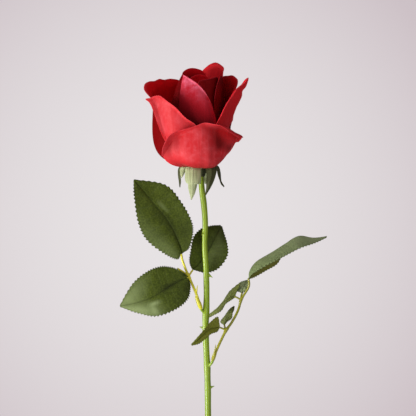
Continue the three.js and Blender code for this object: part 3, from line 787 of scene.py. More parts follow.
@dataclass(frozen=True)
class PetalShape:
    """One petal, a fan of curves from the claw ring to its rim.

    A rim row is [across, depth, height, lip, cup] in the bloom's frame: where the rim runs, how
    long the lip is that rolls outward there, and how round the curve below it is, from 0 for a
    straight one to 1 for a full cup.
    """

    name: str
    rim: Rows
    belly: float = 1.0  # how far a full cup bulges past the rim
    rise: float = 0.5  # how high up the bulge stays full
    sag: float = 0.5  # how far the bulge hangs below the claw
    turn: float = 60.0  # how far the lip rolls, in degrees
    power: float = 1.5  # how late it rolls
    ripple: float = 0.25  # gentle waves along the rim, in millimetres
    phase: float = 0.0
    dents: Rows = ()  # [across, along, width, length, depth] of soft hollows
    shade_patches: Rows = ()  # [across, along, width, length, share] of painted shade in the deep tint
    highlight_patches: Rows = ()  # the same for more of the painted highlight or, below 0, less of it
    tone: Tone = Tone.CORAL
    full_lip: float = 3.0  # from what length a lip rolls by the full turn
    least_lip: float = 0.4
    claw_radius: float = 5.0
    claw_spread: float = 0.75  # how wide the fan is at the claw, as a share of its rim's
    swell: float = 0.45  # broad unevenness of the blade, in millimetres
    side_width: float = 0.12  # over what share of the width the sides thin
    side_share: float = 0.45  # what is left of the thickness at a side
    rim_thinning: float = 0.4  # how much of it is lost towards the rim

    def surface(self, rows: int, lip_rows: int, columns: int) -> tuple[np.ndarray, ...]:
        """The petal's middle surface.

        Up to the lip each column is a cubic Bezier curve in its own upright plane, from the claw
        ring to the rim; its inner control points are those of a straight line and of a bulging
        one, mixed by the cup. The lip turns away from the curve's end heading by an angle that
        grows with the power of its length, and hangs so that its crest is the rim point.

        Args:
            rows: steps from claw to lip.
            lip_rows: steps along the lip.
            columns: steps along the rim, an odd number.

        Returns:
            The points, and for each of them how far along it is from claw to lip's end and how
            far across from -1 to 1.
        """
        x, y, height, lip, cup = spline(self.rim, np.linspace(0, 1, columns)).T
        lip = np.maximum(lip, self.least_lip)
        radius = np.hypot(x, y)
        angle = np.unwrap(np.arctan2(x, -y))
        middle = angle[columns // 2]
        full = radius + self.belly
        low = np.stack([
            (self.claw_radius + (radius - self.claw_radius) / 3) * (1 - cup) + full * cup,
            height / 3 * (1 - cup) - self.sag * cup,
        ])
        high = np.stack([
            (self.claw_radius + (radius - self.claw_radius) * 2 / 3) * (1 - cup) + full * cup,
            height * 2 / 3 * (1 - cup) + height * self.rise * cup,
        ])
        slope = np.stack([radius - high[0], height - high[1]])
        slope /= np.linalg.norm(slope, axis=0)
        fine = lip_rows * LIP_STEPS
        share = (np.arange(fine)[:, None] + 0.5) / fine
        bend = np.radians(self.turn) * np.minimum(lip / self.full_lip, 1)
        heading = bend * share**self.power
        out = np.stack([slope[1], -slope[0]])
        step = (np.cos(heading) * slope[:, None] + np.sin(heading) * out[:, None]) * lip / fine
        line = np.concatenate([np.zeros((2, 1, columns)), np.cumsum(step, axis=1)], axis=1)
        crest_row = np.argmax(np.einsum("krc,kc->rc", line, slope), axis=0)
        crest = line[:, crest_row, np.arange(columns)]
        end = np.stack([radius, height]) - crest
        high = high - crest * np.clip(height / height.max(), 0.02, 1)
        v = np.linspace(0, 1, rows + 1)[:, None]
        weights = (1 - v) ** 3, 3 * (1 - v) ** 2 * v, 3 * (1 - v) * v**2, v**3
        claw = np.stack([np.full(columns, self.claw_radius), np.zeros(columns)])
        curve = sum(w * p[:, None] for w, p in zip(weights, (claw, low, high, end)))
        roll = end[:, None] + line[:, LIP_STEPS::LIP_STEPS]
        r, z = np.concatenate([curve, roll], axis=1)
        claw_angle = middle + (angle - middle) * self.claw_spread
        fan = claw_angle + (angle - claw_angle) * v * (2 - v)
        a = np.concatenate([fan, np.repeat(angle[None], lip_rows, 0)])
        up_lip = np.arange(1, lip_rows + 1)[:, None] / lip_rows
        along = np.concatenate([v * LIP_STARTS, LIP_STARTS + (1 - LIP_STARTS) * up_lip])
        across = np.linspace(-1, 1, columns)[None]
        points = np.stack([r * np.sin(a), -r * np.cos(a), z], -1)
        return points, along + 0 * across, across + 0 * along

    def shell(self, rows: int, lip_rows: int, columns: int, thickness: float) -> Shell:
        """The petal as a thin closed shell.

        Each point of the middle surface moves along its normal by two sine waves along the rim,
        which fade with the sixth power of the way down, by a broad swell and by the dents. The
        shell is thinner towards its rim and its two sides.

        Args:
            rows: steps from claw to lip.
            lip_rows: steps along the lip.
            columns: steps along the rim, an odd number.
            thickness: how thick it is at the claw.

        Returns:
            The shell, with the values that the velvet finish reads.
        """
        points, along, across = self.surface(rows, lip_rows, columns)
        normal = unit(np.cross(np.gradient(points, axis=1), np.gradient(points, axis=0)))
        run = steps_along(points, 1)
        wave = sum(
            share * np.sin(run / length + taken * self.phase + start)
            for length, share, taken, start in RIPPLES
        )
        swell = np.sin(across * 4.1 + along * 5.3 + self.phase) * np.sin(math.pi * along) ** 2
        bump = wave * self.ripple * along**6 + swell * self.swell
        bump = bump + patches(self.dents, across, along)
        points = points + normal * bump[..., None]
        from_side = np.minimum(1 - np.abs(across), self.side_width) / self.side_width
        thin = thickness * (self.side_share + (1 - self.side_share) * from_side)
        thin = thin * (1 - self.rim_thinning * along**4)
        made = sheet_shell(points, thin, {
            "along": along,
            "across": across,
            "painted_shade": np.clip(patches(self.shade_patches, across, along), 0, 1),
            "painted_highlight": np.clip(1 + patches(self.highlight_patches, across, along), 0, 2),
        })
        turns = np.unwrap([math.atan2(row[0], -row[1]) for row in self.rim])
        clockwise = turns[-1] < turns[0]
        made.values["inner"] = 1 - made.values["side"] if clockwise else made.values["side"]
        return made


PETALS = (
    PetalShape("petal_front", sag=11, turn=150, power=0.5, full_lip=10, phase=0.4, rim=(
        (-28, -25, 5.5, 2, 0.7), (-26.5, -29, 12, 5, 0.7), (-21.5, -32, 19.5, 6.5, 0.8),
        (-12, -34, 23.5, 5, 0.95), (-2.5, -35, 26.5, 4, 1), (3, -35, 28, 4, 1),
        (9.5, -34, 27, 6, 1), (16, -29.5, 25.5, 9.5, 0.98), (22.6, -23, 22.6, 10, 0.74),
        (29, -17.5, 19, 6.5, 0.4), (27, -12, 15.6, 3, 0.3),
    ), dents=(
        (0.42, 0.60, 0.15, 0.22, -2.4), (0.1, 0.5, 0.12, 0.3, 0.6), (-0.35, 0.45, 0.2, 0.25, 0.5),
    ), shade_patches=(
        (0.28, 0.73, 0.13, 0.12, 0.6), (0.40, 0.61, 0.15, 0.10, 1.1), (0.68, 0.54, 0.14, 0.08, 0.8),
        (0.75, 0.85, 0.3, 0.2, 0.4), (-0.7, 0.7, 0.24, 0.14, 0.55), (0, 0.82, 0.3, 0.1, 0.35),
        (0.42, 0.41, 0.25, 0.08, -0.4),
    ), highlight_patches=(
        (0.75, 0.85, 0.35, 0.25, -1), (-0.7, 0.72, 0.25, 0.2, -0.8), (0.3, 0.7, 0.25, 0.2, -0.6),
        (0.42, 0.38, 0.25, 0.12, 0.8), (-0.15, 0.55, 0.35, 0.2, 0.5),
    )),
    PetalShape("petal_left", belly=-2, sag=2, turn=50, phase=1.3, rim=(
        (-1.5, -24, 18, 3, 1), (-3.5, -27, 26.5, 4, 1), (-10, -28.5, 31.5, 4, 0.95),
        (-16, -29, 37, 4, 0.9), (-22.5, -28, 42.5, 4, 0.85), (-28.5, -25, 47.5, 5, 0.75),
        (-33, -22, 47.5, 7, 0.6), (-35.5, -20, 46.5, 8, 0.5), (-39.3, -19.6, 45.5, 8, 0.5),
        (-35.6, -16.6, 43, 4, 0.5),
    ), shade_patches=(
        (0.55, 0.75, 0.45, 0.35, 0.36),
    ), highlight_patches=(
        (-0.6, 0.75, 0.25, 0.3, -0.7), (0.5, 0.5, 0.4, 0.3, 0.4),
    )),
    PetalShape("petal_left_back", tone=Tone.DEEP, belly=-0.6, rise=0.42, sag=1, turn=74, power=1.2,
               phase=2.2, rim=(
        (-21.5, -17, 36.5, 2, 0.9), (-27.5, -14.5, 41, 5, 0.95), (-34, -10, 45.5, 10, 0.95),
        (-39, -4.5, 50, 13, 0.95), (-41, 0.5, 54, 13, 0.95), (-40.5, 5, 58, 12, 1),
        (-37.5, 9, 60, 10, 1), (-34, 12.5, 60.5, 8, 1), (-30.5, 16, 62, 8, 1), (-27, 19, 61.5, 8, 1),
        (-22, 23, 63, 8, 1), (-16, 26, 62, 8, 1), (-10.5, 28, 57, 6, 1), (-5, 28, 49, 4, 0.9),
    )),
    PetalShape("petal_right_back", tone=Tone.DEEP, belly=-1, sag=1, turn=62, power=1.2, phase=3.1, rim=(
        (17, -12, 39.5, 3, 0.8), (21.5, -8, 47, 4, 0.8), (25, -3, 54.5, 5, 0.8), (26.5, 3, 60, 6, 0.8),
        (24.5, 8, 63, 6, 0.85), (22.5, 12.5, 64.5, 6, 0.9), (19.5, 17, 64.5, 6, 1),
        (16, 21, 64.5, 6, 1), (10, 26, 62, 5, 1), (3.5, 29, 56, 4, 1), (-1, 28, 47, 2, 0.9),
    ), shade_patches=((0.0, 0.7, 1.5, 0.6, 0.6),)),
    PetalShape("petal_right", tone=Tone.RICH, belly=-3, sag=1.5, turn=65, power=1.3, phase=4.0, rim=(
        (7, -23, 16.5, 3, 0.95), (11, -26, 27.5, 5, 0.95), (13.5, -26.5, 32.5, 6, 0.9),
        (16.5, -26, 38, 6, 0.8), (20, -24, 44, 7, 0.75), (23.5, -21, 49, 8, 0.7),
        (26, -18, 53, 8, 0.65), (28.5, -16, 55.5, 7, 0.5), (31, -14.5, 57.5, 6, 0.34),
        (33.8, -13, 61, 4, 0.2), (32, -10.5, 55, 3, 0.15), (29.6, -8, 52, 2, 0.2),
        (29.2, -6, 48.5, 2, 0.15), (27.2, -4, 44, 2, 0.15), (23.9, -2, 37.7, 1.5, 0.4),
        (23, 1, 31, 2, 0.8),
    )),
    PetalShape("petal_back", tone=Tone.DEEP, sag=2, turn=110, phase=4.9, rim=(
        (-25.5, 22, 19.5, 3, 0.75), (-28, 27, 30, 5, 0.75), (-24.5, 32, 40, 6, 0.8),
        (-15.5, 35, 45, 6, 0.85), (-4, 37, 47.5, 6, 0.85), (8, 36, 46, 6, 0.85),
        (17, 32, 40.5, 6, 0.8), (21, 27, 31.5, 5, 0.75), (19.5, 21, 19.5, 3, 0.75),
    )),
    PetalShape("cone_left", tone=Tone.HEART, belly=15, rise=0.62, ripple=0.12, phase=0.9, rim=(
        (-3, -12, 45, 0.8, 0.1), (-7, -10.5, 54, 1, 0.1), (-12, -7.5, 61.5, 1.5, 0.4),
        (-13.2, -2.5, 65.5, 2, 0.9), (-10.2, 3, 68.3, 3, 1), (-6, 8, 69.6, 3, 1), (-1.5, 12.5, 69, 3, 1),
        (1.5, 15, 67.5, 2.5, 1), (4.5, 16.5, 63, 2, 0.9), (7, 15.5, 55.5, 1, 0.7),
    ), shade_patches=((-0.8, 0.4, 0.4, 0.35, 0.9),)),
    PetalShape("cone_front", tone=Tone.WRAP, belly=9, rise=0.62, turn=55, ripple=0.12, phase=1.8, rim=(
        (-12.4, -14.5, 63.2, 1, 1), (-9.6, -17, 61.2, 1.5, 1), (-6, -19, 58.9, 2, 1),
        (-2, -20.5, 55.9, 2, 1), (2.4, -21.5, 51, 2, 1), (5.4, -21.5, 46.4, 2, 1), (7.8, -20.5, 41, 2, 1),
        (9.2, -19, 36, 2, 1), (10, -17, 28.5, 1.5, 1), (9, -15, 20, 1, 1),
    ), shade_patches=(
        (0.4, 0.72, 0.4, 0.3, 0.25),
    ), highlight_patches=(
        (0.45, 0.75, 0.6, 0.5, -0.9), (-0.75, 0.85, 0.35, 0.15, 0.9),
    )),
    PetalShape("cone_back", tone=Tone.RICH, turn=80, ripple=0.15, phase=2.7, rim=(
        (-3, 15, 58.5, 1, 1), (-1, 17.5, 64.5, 2, 1), (1, 18.5, 68.5, 3, 1), (3.5, 19, 71, 4, 1),
        (6.5, 19, 73, 4.5, 1), (10.5, 17.5, 74, 4.5, 1), (14, 15, 72.5, 4, 1), (16.5, 11.5, 70, 3, 1),
        (16, 8, 66.5, 2, 1), (15.5, 4, 60.5, 1.5, 1),
    )),
    PetalShape("cone_right", tone=Tone.HEART, ripple=0.1, phase=3.6, rim=(
        (9.5, -15, 44.5, 1, 1), (11, -13, 54, 1, 1), (13, -9.5, 61, 1.2, 1), (14.5, -4.5, 63, 1.5, 1),
        (15.5, 1, 62.5, 1.5, 1), (16, 6, 58, 1, 1), (15, 9, 48, 0.8, 1),
    )),
    PetalShape("bud_front", tone=Tone.HEART, ripple=0.08, phase=4.5, rim=(
        (-3, -11, 47, 0.8, 1), (-2.5, -10.5, 55.5, 1, 1), (-1, -11, 59, 1.5, 1),
        (3.5, -11.5, 60, 1.5, 1), (8, -10, 61, 1.5, 1), (11.5, -5.5, 62, 1.2, 1), (12.5, 0, 59, 1, 1),
        (12, 4, 50, 0.8, 1),
    )),
    PetalShape("bud_back", tone=Tone.HEART, ripple=0.08, phase=5.4, rim=(
        (7, 8, 50, 0.8, 1), (7, 9.5, 59.5, 1, 1), (3.5, 11, 64, 1.5, 1), (-1.5, 10.5, 65, 1.5, 1),
        (-6, 6, 63.5, 1.5, 1), (-8, 0, 60.5, 1.2, 1), (-7.5, -6, 53, 1, 1), (-5.5, -9.5, 42, 0.8, 1),
    )),
    PetalShape("bud_right_turn", tone=Tone.HEART, ripple=0.05, phase=0.2, rim=(
        (-2.5, -5.5, 48.5, 0.8, 1), (-2, -6, 57, 1, 1), (1.5, -6.5, 58.5, 1, 1), (5, -4, 59, 1, 1),
        (7, 1, 59, 1, 1), (6, 5.5, 59.5, 1, 1), (1.5, 7.5, 59, 1, 1),
    )),
    PetalShape("bud_left_turn", tone=Tone.HEART, ripple=0.05, phase=1.1, rim=(
        (4, 5.5, 57, 0.8, 1), (1, 6, 58.5, 1, 1), (-2.5, 4, 58.5, 1, 1), (-3, -1, 57.5, 1, 1),
        (-0.5, -3.5, 56.5, 1, 1), (2, -3, 50, 0.8, 1),
    )),
)


VELVETS = {
    Tone.CORAL: VelvetFinish(Tone.CORAL.value),
    # Painted shade over the lower part, where the outer petals shade it, and a stronger painted highlight
    # near the top.
    Tone.WRAP: VelvetFinish(
        Tone.WRAP.value, deep=(0.09, 0.001, 0.003), body=(0.78, 0.016, 0.032),
        clear=(1.0, 0.170, 0.265), rise=(0.48, 0.84), highlight_share=1.7, highlight_at=(0.6, 0.92), shine=0.05,
    ),
    Tone.RICH: VelvetFinish(
        Tone.RICH.value, body=(0.72, 0.010, 0.015), clear=(0.80, 0.026, 0.038),
        inner=(0.95, 0.016, 0.026), highlight_share=0.8, shine=0.2,
    ),
    # A darker outer face: partly the petal's own deeper red and partly painted shade behind the outer
    # petals.
    Tone.DEEP: VelvetFinish(
        Tone.DEEP.value, body=(0.19, 0.001, 0.0015), clear=(0.24, 0.002, 0.003),
        inner=(0.84, 0.004, 0.008), highlight_share=0.6, shine=0.03,
    ),
    # A much darker outer face: painted shade deep inside the bloom.
    Tone.HEART: VelvetFinish(
        Tone.HEART.value, deep=(0.08, 0.001, 0.002), body=(0.20, 0.002, 0.003),
        clear=(0.30, 0.006, 0.010), inner=(0.80, 0.006, 0.014), highlight_share=0.8, shine=0.04,
    ),
}


@dataclass
class Bloom:
    """The petals in their layers and the core that they grow from."""

    node: str = "bloom"
    rows: int = 44
    lip_rows: int = 10
    columns: int = 73
    core_steps: int = 40
    core_sides: int = 48
    thickness: float = 0.6
    core: Rows = ((0, -0.55), (5.5, -0.55), (6.4, 0.5), (6.6, 3), (5.4, 9), (3.4, 30), (0, 33.5))

    def build(self) -> None:
        """Builds every petal and the core as pieces of their own."""
        finishes = {tone: finish.material() for tone, finish in VELVETS.items()}
        for petal in PETALS:
            shell = petal.shell(self.rows, self.lip_rows, self.columns, self.thickness)
            piece = mesh_object(petal.name, shell.moved(BLOOM_AT))
            settle(piece, finishes[petal.tone], Slot.PETAL, self.node)
        profile = turned_profile(self.core, self.core_steps)
        core = turned_shell(profile, self.core_sides).moved(BLOOM_AT)
        carried = ("along", "across", "inner", "painted_shade", "painted_highlight")
        # At along 0 the core takes the claw's painted shade.
        core.values = {name: np.zeros(len(core.points)) for name in carried}
        settle(mesh_object("bloom_core", core), finishes[Tone.HEART], Slot.PETAL, self.node)


# ---- leaves and calyx --------------------------------------------------------------------------


# The sine waves over a blade: how fast each turns across and along, and its share.
DRIFTS = ((3.1, 7.3, 1.0), (-2.0, 13.0, 0.7))


@dataclass(frozen=True)
class Blade:
    """A leaf or sepal that hangs on three curves from base to tip: its rib and its two margins."""

    name: str
    rib: Rows
    left: Rows
    right: Rows
    teeth: int = 0
    tooth_depth: float = 0.0
    tooth_peak: float = 0.78  # where a tooth is highest, as a share of its length
    tooth_reach: float = 0.22  # its most height, as a share of the blade's half width
    puff: Span = (0.05, 0.05)  # how far each half swells, as a share of its width
    veins: int = 8
    vein_slant: float = 0.16  # how far they run to the tip, as a share of the blade's length
    vein_bend: float = 0.9  # 1 for straight ones
    vein_calm: float = 0.5  # how much less they slant at the tip
    vein_end: float = 0.25  # over what share of the way across they fade to the margin
    vein_start: float = 30.0  # how fast they set in beside the rib
    vein_width: float = 0.35  # widths and depths in millimetres
    vein_depth: float = 0.08
    rib_width: float = 0.5
    rib_depth: float = 0.34
    quilt_depth: float = 0.02
    flutter: float = 0.3  # gentle unevenness
    taper: float = 2.0  # over how many millimetres the blade thins to its margin
    margin_share: float = 0.55  # what is left of the thickness there
    phase: float = 0.0
    pale: Rows = ()  # [across, along, width, length, share] of painted light and sheen or, below 0, painted shade

    def surface(self, rows: int, columns: int) -> tuple[np.ndarray, dict[str, np.ndarray]]:
        """The blade's middle surface and what its points carry.

        A point lies on the straight line from the rib to a margin, lifted by a half sine of the
        swell. A saw tooth, which rises slowly towards the tip and then drops, pushes the margin
        outward. The veins are narrow Gaussian grooves that leave the rib at even steps and slant
        to the margin, the rib is a deeper one, and a cosine quilts the cloth between the veins.
        Two sine waves that grow with the way across make the whole blade a little uneven.

        Args:
            rows: steps from base to tip.
            columns: steps from margin to margin, an odd number.

        Returns:
            The points, and the values that they carry by name.
        """
        f = np.linspace(0, 1, rows)
        u = np.linspace(-1, 1, columns)
        rib, left, right = (spline(line, f) for line in (self.rib, self.left, self.right))
        side = np.where(u[None, :, None] < 0, left[:, None], right[:, None])
        reach = np.abs(u)[None, :, None]
        spread = side - rib[:, None]
        width = np.linalg.norm(spread, axis=-1)
        points = rib[:, None] + spread * reach
        saw = (f * max(self.teeth, 1)) % 1
        peak = self.tooth_peak
        tooth = np.where(saw < peak, saw / peak, (1 - saw) / (1 - peak))[:, None]
        push = tooth * np.minimum(self.tooth_depth, width * self.tooth_reach) * np.abs(u)[None] ** 5
        points = points + unit(spread) * push[..., None]
        cross = unit(right - left)
        heading = unit(np.gradient(rib, axis=0))
        lift = unit(np.cross(cross, heading))[:, None]
        swell = np.where(u < 0, *self.puff) * width * np.sin(math.pi * np.abs(u))[None]
        length = steps_along(rib[:, None], 0)[-1, 0]
        along = f[:, None] + 0 * u[None]
        across = u[None] + 0 * along
        slant = self.vein_slant * np.abs(across) ** self.vein_bend * (1 - self.vein_calm * along)
        slanted = (along - slant) * self.veins
        off = np.abs(slanted - np.round(slanted)) / self.veins * length
        fade = np.clip(1 - np.abs(across), 0, self.vein_end) / self.vein_end
        fade = fade * np.clip(across**2 * self.vein_start, 0, 1)
        groove = bell(off, self.vein_width) * fade
        rib_groove = bell(across * width, self.rib_width) * (1 - along) ** 0.3
        quilt = np.cos(2 * math.pi * slanted) * fade
        drift = sum(
            share * np.sin(across * wide + along * high + self.phase) for wide, high, share in DRIFTS
        )
        bump = swell - self.vein_depth * groove - self.rib_depth * rib_groove
        bump = bump - self.quilt_depth * quilt + self.flutter * drift * np.abs(across)
        points = points + lift * bump[..., None]
        margin = width * (1 - np.abs(across))
        margin = np.minimum(margin, np.minimum(along, 1 - along) * length + 0.3)
        values = {
            "along": along,
            "across": across,
            "vein": groove,
            "rib_shade": rib_groove,
            # The pale patches: painted light and sheen, and below 0 painted shade.
            "pale": np.clip(patches(self.pale, across, along), -1, 1),
            "margin": margin,
            "warp": steps_along(points, 0),
            "weft": steps_along(points, 1),
        }
        return points, values

    def shell(self, rows: int, columns: int, thickness: float) -> Shell:
        """The blade as a thin closed shell, tapering in a straight line to its margin.

        Args:
            rows: steps from base to tip.
            columns: steps from margin to margin, an odd number.
            thickness: how thick it is in its middle.

        Returns:
            The shell, with its values.
        """
        points, values = self.surface(rows, columns)
        taper = np.clip(values["margin"] / self.taper, 0, 1)
        thin = thickness * (self.margin_share + (1 - self.margin_share) * taper)
        return sheet_shell(points, thin, values)


class Tint(Enum):
    """The four cloths of the leaves; the olive, fresh and pale ones are lighter than the first one,
    partly by their own tint and partly as painted light and painted sheen.
    """

    DARK = "dark_leaf_cloth"
    OLIVE = "olive_painted_light_cloth"
    FRESH = "fresh_painted_light_cloth"
    PALE = "pale_painted_sheen_cloth"


CLOTHS = {
    Tint.DARK: ClothFinish(Tint.DARK.value),
    Tint.OLIVE: ClothFinish(
        Tint.OLIVE.value, upper=(0.310, 0.345, 0.045), light=(0.40, 0.44, 0.12),
        fleck=(0.36, 0.40, 0.08),
    ),
    Tint.FRESH: ClothFinish(
        Tint.FRESH.value, upper=(0.185, 0.215, 0.048), light=(0.36, 0.43, 0.15),
        fleck=(0.27, 0.32, 0.08),
    ),
    # Paler upper face as painted sheen, and a darker olive under face as painted shade.
    Tint.PALE: ClothFinish(
        Tint.PALE.value, upper=(0.205, 0.265, 0.110), light=(0.46, 0.56, 0.29),
        fleck=(0.30, 0.38, 0.16), under=(0.150, 0.155, 0.020),
    ),
}

BIG = {"teeth": 33, "tooth_depth": 1.15, "veins": 9}
SMALL = {"teeth": 16, "tooth_depth": 0.8, "veins": 6, "puff": (0.04, 0.04)}

LEAVES: tuple[tuple[Blade, Tint], ...] = (
    (Blade(
        "leaf_left_upper", **BIG, phase=0.3, puff=(0.05, -0.03),
        pale=((0.2, 0.64, 0.14, 0.08, 0.4), (0.35, 0.5, 0.2, 0.12, 0.15), (0.1, 0.35, 0.12, 0.3, -0.4),
              (-0.85, 0.35, 0.35, 0.3, 0.3), (-0.1, 0.35, 0.14, 0.3, -0.35), (0.7, 0.25, 0.4, 0.2, -0.3),
              (-0.3, 0.75, 0.4, 0.2, -0.08), (0.5, 0.4, 0.4, 0.25, -0.2)),
        rib=((-18.5, 0, 295), (-20.5, -1, 301.5), (-24.5, -3, 311), (-30.5, -5, 321), (-38, -7, 330),
             (-45, -8, 338.5), (-53, -8, 348)),
        left=((-19.5, 0, 294), (-22.5, -1, 291.5), (-31, -2, 295.5), (-43.5, -5, 305.5),
              (-49.5, -8, 318), (-52, -10, 334.5), (-53.2, -8, 347.5)),
        right=((-18, 0, 295.5), (-14, -2, 299.5), (-11.5, -3, 309.5), (-12.5, -4, 318.5),
               (-19.5, -6, 331.5), (-31, -7, 344), (-52.5, -8, 348.2)),
    ), Tint.DARK),
    (Blade(
        "leaf_left_lower", **BIG, phase=1.6,
        pale=((-0.7, 0.80, 0.5, 0.18, 0.9), (0.5, 0.84, 0.5, 0.16, 0.5), (-0.35, 0.62, 0.10, 0.05, 0.8),
              (-0.7, 0.66, 0.3, 0.03, 0.6), (0.05, 0.36, 0.2, 0.18, -0.7), (-0.75, 0.2, 0.5, 0.25, -0.5),
              (0.6, 0.1, 0.5, 0.15, -0.5), (0, 1.0, 0.8, 0.15, 0.5), (0.35, 0.52, 0.4, 0.16, -0.1)),
        rib=((-14.5, -4.8, 277.8), (-18.5, -5.5, 276.5), (-27.5, -7, 271.5), (-34.5, -8, 267),
             (-43, -8, 262.5), (-53, -7, 259.5), (-63, -5, 257.5)),
        left=((-13.8, -5.2, 277), (-13, -5.4, 271.5), (-15, -6, 263), (-23, -7, 256),
              (-37, -8, 251), (-50, -7, 253), (-63, -5.2, 257)),
        right=((-14.5, -4.8, 279), (-19.5, -4, 282), (-26, -2, 284.5), (-34, -1, 285),
               (-43.5, -1.5, 281.5), (-54, -3, 273), (-63.2, -4.8, 258)),
    ), Tint.DARK),
    (Blade(
        "leaf_left_back", teeth=25, tooth_depth=1.0, phase=2.9,
        pale=((0.35, 0.55, 0.5, 0.45, 0.26),),
        rib=((-11, 3.4, 283.5), (-6, 5.5, 288), (-1.5, 7, 293.5), (2, 9, 299.5), (5.5, 12, 307),
             (8, 16.5, 311.5), (9.5, 22, 314.6)),
        left=((-11.6, 3.4, 284), (-13, 3.4, 289.5), (-12, 4, 297), (-10, 6, 306.5), (-4.5, 10, 312.5),
              (2.5, 16, 314.6), (9, 22, 315.2)),
        right=((-10, 3.6, 283), (-1.5, 4.6, 281.5), (7, 4, 284.5), (13.5, 5, 293.5), (13.5, 8, 302.5),
               (11.2, 15, 310.5), (10, 22, 314.2)),
    ), Tint.DARK),
    (Blade(
        "leaf_right_low_front", **SMALL, phase=0.8,
        rib=((8.5, 0, 242), (5, -4, 241.5), (0.5, -9, 240.5), (-4, -15, 237), (-8, -20, 233.5),
             (-11.5, -23, 231)),
        left=((8.3, -0.5, 241.2), (6.5, -8, 239.5), (2, -13, 238), (-2, -17, 235), (-6.5, -21, 231.8),
              (-11.5, -23, 230.5)),
        right=((8.6, 0, 243), (7, 0, 249), (2.5, -5, 246.5), (-1.5, -11, 242.5), (-6, -18, 237.5),
               (-11.8, -23, 231.2)),
    ), Tint.OLIVE),
    (Blade(
        "leaf_right_low_back", **SMALL, phase=2.0, pale=((-0.3, 0.3, 0.9, 0.4, 0.8),),
        rib=((11.8, 2.4, 243.4), (12.5, 3.5, 246.5), (14, 5, 250), (16, 7, 253), (17.5, 9, 255),
             (19, 11, 256.5)),
        left=((11.2, 2.4, 243.6), (9.5, 5, 245.5), (12, 8, 249), (14, 10, 252.5), (16.5, 11, 255.2),
              (18.8, 11, 256.8)),
        right=((12.3, 2.2, 243.9), (14, 1, 246), (17, 1.5, 248.5), (17.7, 4, 252), (18.5, 7.5, 254.3),
               (19.3, 11, 256.2)),
    ), Tint.FRESH),
    (Blade(
        "leaf_right_mid_front", **SMALL, phase=3.2,
        pale=((0, 0.1, 1.5, 0.14, -0.2), (0, 0.42, 1.5, 0.16, 0.6), (0, 0.85, 1, 0.25, 0.5)),
        rib=((19.5, 4.5, 263.8), (17, 6, 263.5), (13.5, 8.5, 261.5), (8.5, 10.5, 256.5),
             (3.5, 12, 251.5), (-1.5, 12.5, 247.5)),
        left=((19.3, 4, 263.2), (16.5, 4, 261), (12.5, 5, 258.5), (9, 7, 253.5), (3.5, 10, 250),
              (-1.5, 12.3, 247.2)),
        right=((19.9, 4.5, 265), (23.3, 6.5, 273.2), (16, 10, 267.5), (13, 13, 262.3),
               (6.5, 14, 255.3), (-1.7, 12.7, 248)),
    ), Tint.FRESH),
    (Blade(
        "leaf_right_mid_back", **SMALL, phase=4.4, pale=((0, 0.4, 2, 0.8, 0.9),),
        rib=((25, 4.8, 266.8), (25.3, 6.5, 269), (26, 8, 271), (27.2, 9.5, 273), (28.7, 11, 275)),
        left=((24.3, 5, 266.3), (21.2, 7.5, 268), (21.2, 10, 271), (24.2, 11, 274), (28.4, 11, 275.4)),
        right=((25.6, 4.8, 267), (27.3, 5.5, 268), (28.2, 6.5, 269.8), (28.9, 8, 272), (29.2, 11, 274.6)),
    ), Tint.PALE),
    (Blade(
        "leaf_right_end", **BIG, phase=5.6,
        pale=((0, 0.88, 1.2, 0.22, 0.9), (0.1, 0.45, 0.5, 0.15, 0.2)),
        rib=((29.2, 0, 277), (30.2, -0.6, 283), (34.8, -1.5, 289.4), (45, -2, 295.6),
             (55.5, -1.5, 302), (65.5, 0, 307.6), (76, 1, 306.4), (85.5, 2, 307.3)),
        left=((29, 0.8, 276.6), (33.2, 7, 278), (41.6, 12, 282.9), (50.5, 15, 287.8),
              (56, 17, 297), (63, 14, 303.3), (75, 8, 304.2), (85.6, 2.3, 307.5)),
        right=((29.5, -0.8, 276.9), (31.1, -6, 280.4), (36, -11, 283.8), (46.5, -15, 289.8),
               (54.5, -15, 293.9), (65.5, -12, 299), (76, -6, 302.4), (85.5, 1.7, 306.8)),
    ), Tint.PALE),
)


@dataclass
class Foliage:
    """The eight cut leaves."""

    thickness: float = 0.5
    rows: int = 320
    columns: int = 45

    def build(self) -> None:
        """Builds each leaf as a piece of its own."""
        cloths = {tint: finish.material() for tint, finish in CLOTHS.items()}
        for blade, tint in LEAVES:
            shell = blade.shell(self.rows, self.columns, self.thickness).moved(ROSE_AT)
            settle(mesh_object(f"{blade.name}_cloth", shell), cloths[tint], Slot.LEAF, blade.name)


